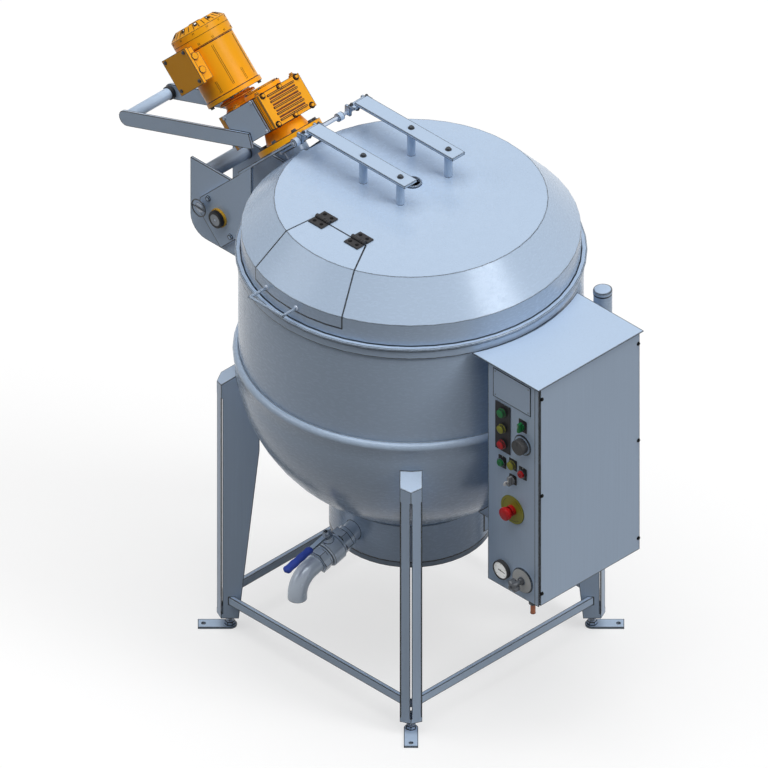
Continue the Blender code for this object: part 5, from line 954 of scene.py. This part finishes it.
def hatch_details():
    """Hinge leaves, barrels and bolts between the hatch and the lid."""
    y0, inner, outer = HATCH_AXIS.y, HINGE_GAP, HINGE_DEPTH
    for side in ("left", "right"):
        node = f"hatch_hinge_{side}"
        x = middle(node).x
        ear = (high_of(node).x - low_of(node).x) / 2 * 0.30
        axis = facing((x, y0, HATCH_AXIS.z), (1, 0, 0))
        foot, moving, fixed = LID_TOP + 0.0001, LID_TOP + 0.0050, LID_TOP + 0.0052
        bm = bmesh.new()
        add_block(bm, (x - HINGE_HALF, y0 - outer, foot), (x + HINGE_HALF, y0 - inner, moving), edge=0.0010)
        add_block(bm, (x - ear, y0 - 0.0090, foot), (x + ear, y0 - 0.0030, moving), edge=0.0005)
        add_turned(bm, tube(0, 0.0070, -ear, ear), 24, axis)
        shown(bm, f"hatch_leaf_{side}", "hinge_black", "hatch")
        bm = bmesh.new()
        add_block(bm, (x - HINGE_HALF, y0 + inner, foot), (x + HINGE_HALF, y0 + outer, fixed), edge=0.0010)
        for start, end in ((-0.026, -0.0172), (-0.0168, -0.0080), (0.0080, 0.0168), (0.0172, 0.026)):
            add_turned(bm, [(0.0056, start), (0.0066, start), (0.0074, start + 0.0012), (0.0074, end - 0.0012),
                            (0.0066, end), (0.0056, end)], 24, axis)
        shown(bm, f"hatch_hinge_barrel_{side}", "hinge_black", "lid")
        for kind, y, z in (("hatch_leaf_bolts", y0 - outer * 0.62, moving),
                           ("hatch_hinge_bolts", y0 + outer * 0.62, fixed)):
            bolts(kind, [(x - HINGE_BOLT_X, y, z), (x + HINGE_BOLT_X, y, z)], UP, f"_{side}")


def arm_details():
    """The lid arms as flat bars on posts, with the bearings that take the hinge rod."""
    under = BAR_TOP - BAR_THICKNESS
    start, end = AXIS.x + BAR_ENDS[0], AXIS.x + BAR_ENDS[1]
    post = tube(0, POST_RADIUS, LID_TOP - 0.0005, under + 0.0005)
    for name in ("near", "far"):
        node = f"lid_arm_{name}"
        y = middle(node).y
        seats = [(AXIS.x + x, y, BAR_TOP) for x in POST_X]
        bm = bmesh.new()
        add_block(bm, (start, y - BAR_HALF_WIDTH, under), (end, y + BAR_HALF_WIDTH, BAR_TOP), edge=0.0004)
        for x in POST_X:
            add_turned(bm, post, 36, shift(AXIS.x + x, y, 0))
        arm = shown(bm, f"lid_arm_bar_{name}", "steel_plain", "lid")
        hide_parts(node)
        bm = bmesh.new()
        half = BEARING_HALF
        add_block(bm, (start - 0.014, y - half, under - 0.0080), (start + 0.012, y + half, under), edge=0.0006)
        for low in (y - half, y + half - 0.009):
            add_block(bm, (LID_ROD.x - 0.0085, low, LID_ROD.z - 0.0085),
                      (LID_ROD.x + 0.0125, low + 0.009, under - 0.0075), edge=0.0010)
        shown(bm, f"arm_bearing_{name}", "steel_plain", "lid")
        bolts("arm_bearing_bolts", [(start - 0.007, y + dy, under) for dy in (-0.030, 0.030)], UP, f"_{name}")
        nuts = [(start + 0.004, y + dy, under - 0.0078) for dy in (-0.018, 0.010)]
        bolts("arm_bearing_nuts", nuts, DOWN, f"_{name}")
        bolts("arm_bolts", seats, UP, f"_{name}")


def lid_details():
    """The vent's lip, and the feet of the hatch handle."""
    turned("vent_lip", shift(*place(-0.048, 0.054, LID_TOP + 0.006)))
    for side, name in ((-1, "left"), (1, "right")):
        x = HANDLE_X + side * HANDLE_HALF
        seat = place(x, -math.sqrt(LID_SKIRT_RADIUS ** 2 - x ** 2), HANDLE_Z)
        turned("handle_foot", facing(seat, TO_OPERATOR), f"handle_foot_{name}")


def swing_details():
    """The pivot knob's rings, the lock pin's pull ring, the side plates' bolts and the handle's ring."""
    knob = facing((PIVOT.x, low_of("pivot_shaft").y, PIVOT.z), TO_OPERATOR)
    for kind in ("pivot_knob_ring", "pivot_knob_rim", "pivot_knob_face", "pivot_knob_centre"):
        turned(kind, knob)
    pin = middle("lock_pin")
    centre = Vector((pin.x, low_of("lock_pin").y - PULL_RING_WIRE, pin.z))
    points = [centre + Vector((a, 0, c)) for a, c in arc(PULL_RING_RADIUS, 0, 360, 48)[:-1]]
    swept("lock_pin_ring", points, PULL_RING_WIRE, "steel_dark", "pin", 12, True)
    bar = Vector((PULL_RING_RADIUS - PULL_RING_WIRE * 0.4, 0, 0))
    swept("lock_pin_cross", [centre + bar * k for k in (-1, -0.3, 0.3, 1)], 0.0019, "steel_dark", "pin", 12)

    for side, name in BOTH_SIDES:
        seats = [DRIVE @ Vector((along, side * SIDE_PLATE_FACE, height)) for along in (-0.1025, 0.0445)
                 for height in (0.0515, 0.1435)]
        bolts("side_plate_bolts", seats, (0, side, 0), f"_{name}")
    turned("handle_black_ring", facing(place(-1.037, 0.080, 1.266), (0, 1, 0)))


def gearbox_details():
    """Bolts, boss cap and adapter rings, the case's ribs, and painted shade in the cover's recesses."""
    up = (DRIVE.to_3x3() @ Vector((0, 0, 1))).normalized()
    bolts("flange_bolts", ring_of(8, 0.0855, DRIVE @ shift(0, 0, 0.0120), math.pi / 8), up)
    boss = DRIVE @ shift(0, 0, 0.165)
    turned("rear_boss_cap", boss)
    bolts("rear_boss_bolts", ring_of(6, 0.0525, boss, 0.3), up)
    shield = MOTOR @ shift(0, 0, 0.1853)
    bolts("motor_shield_bolts", ring_of(4, 0.0765, shield, math.pi / 4), -up)
    turned("adapter_collar", MOTOR @ shift(0, 0, 0.1770))
    turned("adapter_foot", MOTOR @ shift(0, 0, 0.1495))

    bm = bmesh.new()
    for side in (-1, 1):
        add_block(bm, (0.056, side * 0.079, 0.047), (0.064, side * 0.0835, 0.148), DRIVE, 0.001)
    corners = [(x, y) for x in (0.062, -0.055) for y in (0.068, -0.068)]
    boss = [(0, 0.140), (0.0105, 0.140), (0.0105, 0.1525), (0.0090, CASE_TOP), (0, CASE_TOP)]
    for x, y in corners:
        add_turned(bm, boss, 20, DRIVE @ shift(x, y, 0))
    shown(bm, "case_ribs_and_bosses", "orange", "swing", 30)
    bolts("case_top_bolts", [DRIVE @ Vector((x, y, CASE_TOP)) for x, y in corners], up)

    # Dark brown strips flush with the cover's face: painted shade where the sides of its ridges fall in shadow
    levels = [COVER_LOW + COVER_MARGIN + COVER_SPAN * (k + 0.5) / 4 for k in range(4)]
    shade_strips = [((COVER_FACE - SMALL, -0.050, level - 0.0042), (COVER_FACE + SMALL, 0.050, level + 0.0012))
                for level in levels]
    box_piece("cover_recess_shade", shade_strips, "recess_shade", "swing", DRIVE, 0.0002)
    rings = bmesh.new()
    across = facing(DRIVE @ Vector((COVER_FACE, 0, 0)), DRIVE.to_3x3() @ Vector((1, 0, 0)))
    inverse = across.inverted() @ DRIVE
    for y in (-0.066, 0, 0.066):
        for z in (COVER_LOW + COVER_MARGIN / 2, COVER_LOW + COVER_SPAN + COVER_MARGIN * 1.5):
            seat = across @ shift(*(inverse @ Vector((COVER_FACE, y, z))))
            add_turned(rings, tube(0.0062, 0.0098, 0, 0.0012), 24, seat)
    shown(rings, "cover_bolt_rings", "ink", "swing")


def add_groove_pairs(bm, angles, radius, aside, half, spans):
    """Pairs of dark lines along the motor, at angles in degrees round it."""
    for angle in angles:
        turn = MOTOR @ spin(math.radians(GROOVE_START + angle))
        for y in (-aside, aside):
            for low, high in spans:
                add_block(bm, (radius - SMALL, y - half, low), (radius + SMALL, y + half, high), turn, 0.0001)


def motor_details():
    """The terminal box's screws and gasket, and the motor's smooth sleeve, grooves and hub, with painted shade for
    the cowl's slots: a black sheet under them and dark strips on its cone.
    """
    seats = [MOTOR @ Vector((along, -0.119, height)) for along in (-0.050, 0.050) for height in (0.268, 0.359)]
    bolts("terminal_lid_screws", seats, TO_OPERATOR)
    gasket = ((-0.0622, -0.1096, 0.2572), (0.0622, -0.1080, 0.3665))
    box_piece("terminal_gasket", [gasket], "ink", "swing", MOTOR, 0.0003)
    sleeve = tube(SLEEVE_RADIUS - 0.0030, SLEEVE_RADIUS, 0.2005, 0.3471)
    turned_piece("motor_sleeve", sleeve, MOTOR, "orange", "swing", 72)
    bm = bmesh.new()
    add_groove_pairs(bm, range(0, 300, 60), SLEEVE_RADIUS, 0.0022, 0.0006, [(0.2135, 0.3375)])
    add_groove_pairs(bm, range(-30, 270, 60), SLEEVE_RADIUS, 0.0022, 0.0005, [(0.2075, 0.2430)])
    add_groove_pairs(bm, range(9, 369, 30), COWL_RADIUS, 0.0020, 0.0005, [(0.3545, 0.3610), (0.3880, 0.3935)])
    add_turned(bm, tube(COWL_RADIUS - SMALL, COWL_RADIUS + SMALL, 0.3775, 0.3785), 72, MOTOR)
    # Dark radial strips on the cowl's cone stand for more slots: painted shade in their openings
    slope = shift(0.0740, 0, 0.4070) @ spin(math.atan2(0.020, 0.025), "Y")
    for k in range(COWL_LINES):
        turn = MOTOR @ spin(math.tau * (k + 0.5) / COWL_LINES)
        add_block(bm, (-0.0115, -0.0010, -0.0006), (0.0100, 0.0010, 0.0004), turn @ slope, 0.0001)
    shown(bm, "motor_groove_lines_and_slot_shade", "ink", "swing")
    # Black sheet under the cowl's slots: painted shade seen through them
    turned("cowl_slot_shade", MOTOR)
    turned("cowl_hub", MOTOR @ shift(0, 0, 0.4172))


def bracket_details():
    """Weld beads where the bracket's tube meets its plates and where the plates meet the bowl."""
    for side, name in BOTH_SIDES:
        centre = facing(place(-0.735, side * 0.0795, 1.219), (0, -side, 0))
        weld_ring(f"bracket_tube_weld_{name}", centre, 0.0248, 0.0020, "weld", 70)
        wall_x = AXIS.x - math.sqrt((BOWL_RADIUS + SMALL) ** 2 - BRACKET_HALF ** 2)
        points = [(wall_x - 0.0006, AXIS.y + side * BRACKET_HALF, 1.008 + 0.243 * k / 60) for k in range(61)]
        swept(f"bracket_wall_weld_{name}", points, 0.0024, "weld", "frame", 8)


def mixer_details():
    """Clamp bolts of the scraper strip and the shaft's collar."""
    centre = DRIVE.inverted() @ place(0, 0, BOWL_CENTRE_Z)
    radius = WALL_INNER_RADIUS - abs(centre.x) - SCRAPER_GAP - STRIP_BOLT_INSET
    for side, name in BOTH_SIDES:
        seats = []
        for k in range(STRIP_BOLTS):
            angle = math.radians(270 - 78 + 156 * k / (STRIP_BOLTS - 1))
            local = (radius * math.cos(angle), side * 0.006, centre.z + radius * math.sin(angle))
            seats.append(DRIVE @ Vector(local))
        bolts("scraper_bolts", seats, (0, side, 0), f"_{name}")
    turned("shaft_collar", DRIVE @ shift(0, 0, -0.0900))


def inlet_details():
    """A nut at the top of the water inlet, a lip round the pipe's open mouth, and a black disc in its bore as painted
    shade.
    """
    low, top, centre = low_of("water_inlet_pipe"), high_of("water_inlet_pipe"), middle("water_inlet_pipe")
    radius = (top.x - low.x) / 2
    bore = radius * 0.62
    nut = [(radius, 0), (radius * 1.55, 0), (radius * 1.65, 0.002), (radius * 1.65, 0.009), (radius * 1.5, 0.011),
           (radius, 0.011)]
    lip = [(bore, 0.0), (radius * 1.04, 0.0), (radius * 1.04, 0.003), (radius * 0.9, 0.0038), (bore, 0.0038)]
    for name, profile, z, look, sides, smooth in (
            ("inlet_nut", nut, top.z - 0.0115, "steel_dark", 6, 25),
            ("inlet_pipe_lip", lip, low.z - 0.0002, "copper", 24, 35),
            # A black disc inside the bore: painted shade of the pipe's inside
            ("inlet_bore_shade", tube(0, bore, 0, 0.0008), low.z - 0.0004, "ink", 24, 35)):
        turned_piece(name, profile, shift(centre.x, centre.y, z), look, "frame", sides, smooth)


def seen_as_background(tree):
    """1 for rays from the camera, from gloss and through glass, 0 for the light that falls."""
    path = tree.nodes.new("ShaderNodeLightPath")
    first, second = (new_node(tree, "ShaderNodeMath", operation="MAXIMUM") for _ in range(2))
    tree.links.new(path.outputs["Is Camera Ray"], first.inputs[0])
    tree.links.new(path.outputs["Is Glossy Ray"], first.inputs[1])
    tree.links.new(first.outputs[0], second.inputs[0])
    tree.links.new(path.outputs["Is Transmission Ray"], second.inputs[1])
    return second.outputs[0]


def set_stage():
    """Pale floor, white surroundings, soft lamps and the camera."""
    bm = bmesh.new()
    bmesh.ops.create_grid(bm, x_segments=2, y_segments=2, size=FLOOR_SIZE / 2)
    floor = solid(bm, "floor")
    floor.location = (0, 0, -FLOOR_GAP)
    nodes = Nodes("floor_white")
    shader = nodes.shader
    for key, value in (("Roughness", 1.0), ("Specular IOR Level", 0.0), ("Emission Color", (1, 1, 1, 1))):
        shader.inputs[key].default_value = value
    seen = seen_as_background(nodes.tree)
    nodes.link(nodes.mixed(seen, (FLOOR_ALBEDO,) * 3, (FLOOR_SHADED,) * 3), shader.inputs["Base Color"])
    nodes.link(nodes.ranged(seen, 0.0, FLOOR_GLOW, 0.0, 1.0), shader.inputs["Emission Strength"])
    floor.data.materials.append(nodes.material)

    world = bpy.data.worlds.new("surroundings")
    bpy.context.scene.world = world
    world.use_nodes = True
    tree = world.node_tree
    background = tree.nodes["Background"]
    background.inputs["Color"].default_value = (1, 1, 1, 1)
    strength = new_node(tree, "ShaderNodeMapRange", {"To Min": AMBIENT, "To Max": 1.0})
    tree.links.new(seen_as_background(tree), strength.inputs["Value"])
    tree.links.new(strength.outputs["Result"], background.inputs["Strength"])

    for name, (way, strength, size) in SUNS.items():
        sun = bpy.data.lights.new(name, "SUN")
        sun.energy = strength
        sun.angle = math.radians(size)
        sun_object = bpy.data.objects.new(name, sun)
        sun_object.rotation_euler = Vector(way).to_track_quat("Z", "Y").to_euler()
        bpy.context.collection.objects.link(sun_object)
    camera = bpy.data.cameras.new("camera")
    camera.type = "ORTHO"
    camera.ortho_scale = VIEW_WIDTH
    camera.clip_end = 4 * CAMERA_DISTANCE
    camera_object = bpy.data.objects.new("camera", camera)
    azimuth, elevation = math.radians(VIEW_AZIMUTH), math.radians(VIEW_ELEVATION)
    away = Vector((math.sin(azimuth) * math.cos(elevation), -math.cos(azimuth) * math.cos(elevation),
                   math.sin(elevation)))
    camera_object.location = place(*VIEW_TARGET) + away * CAMERA_DISTANCE
    camera_object.rotation_euler = away.to_track_quat("Z", "Y").to_euler()
    bpy.context.collection.objects.link(camera_object)
    bpy.context.scene.camera = camera_object
    bpy.context.scene.view_settings.view_transform = "Standard"


for step in (dress_nodes, vessel_details, foot_details, box_details, panel_details, key_details, dial_details,
             estop_details, gauge_details, tap_details, drain_details, lever_details, valve_details, hatch_details,
             arm_details, lid_details, swing_details, gearbox_details, motor_details, bracket_details, mixer_details,
             inlet_details, set_stage):
    step()
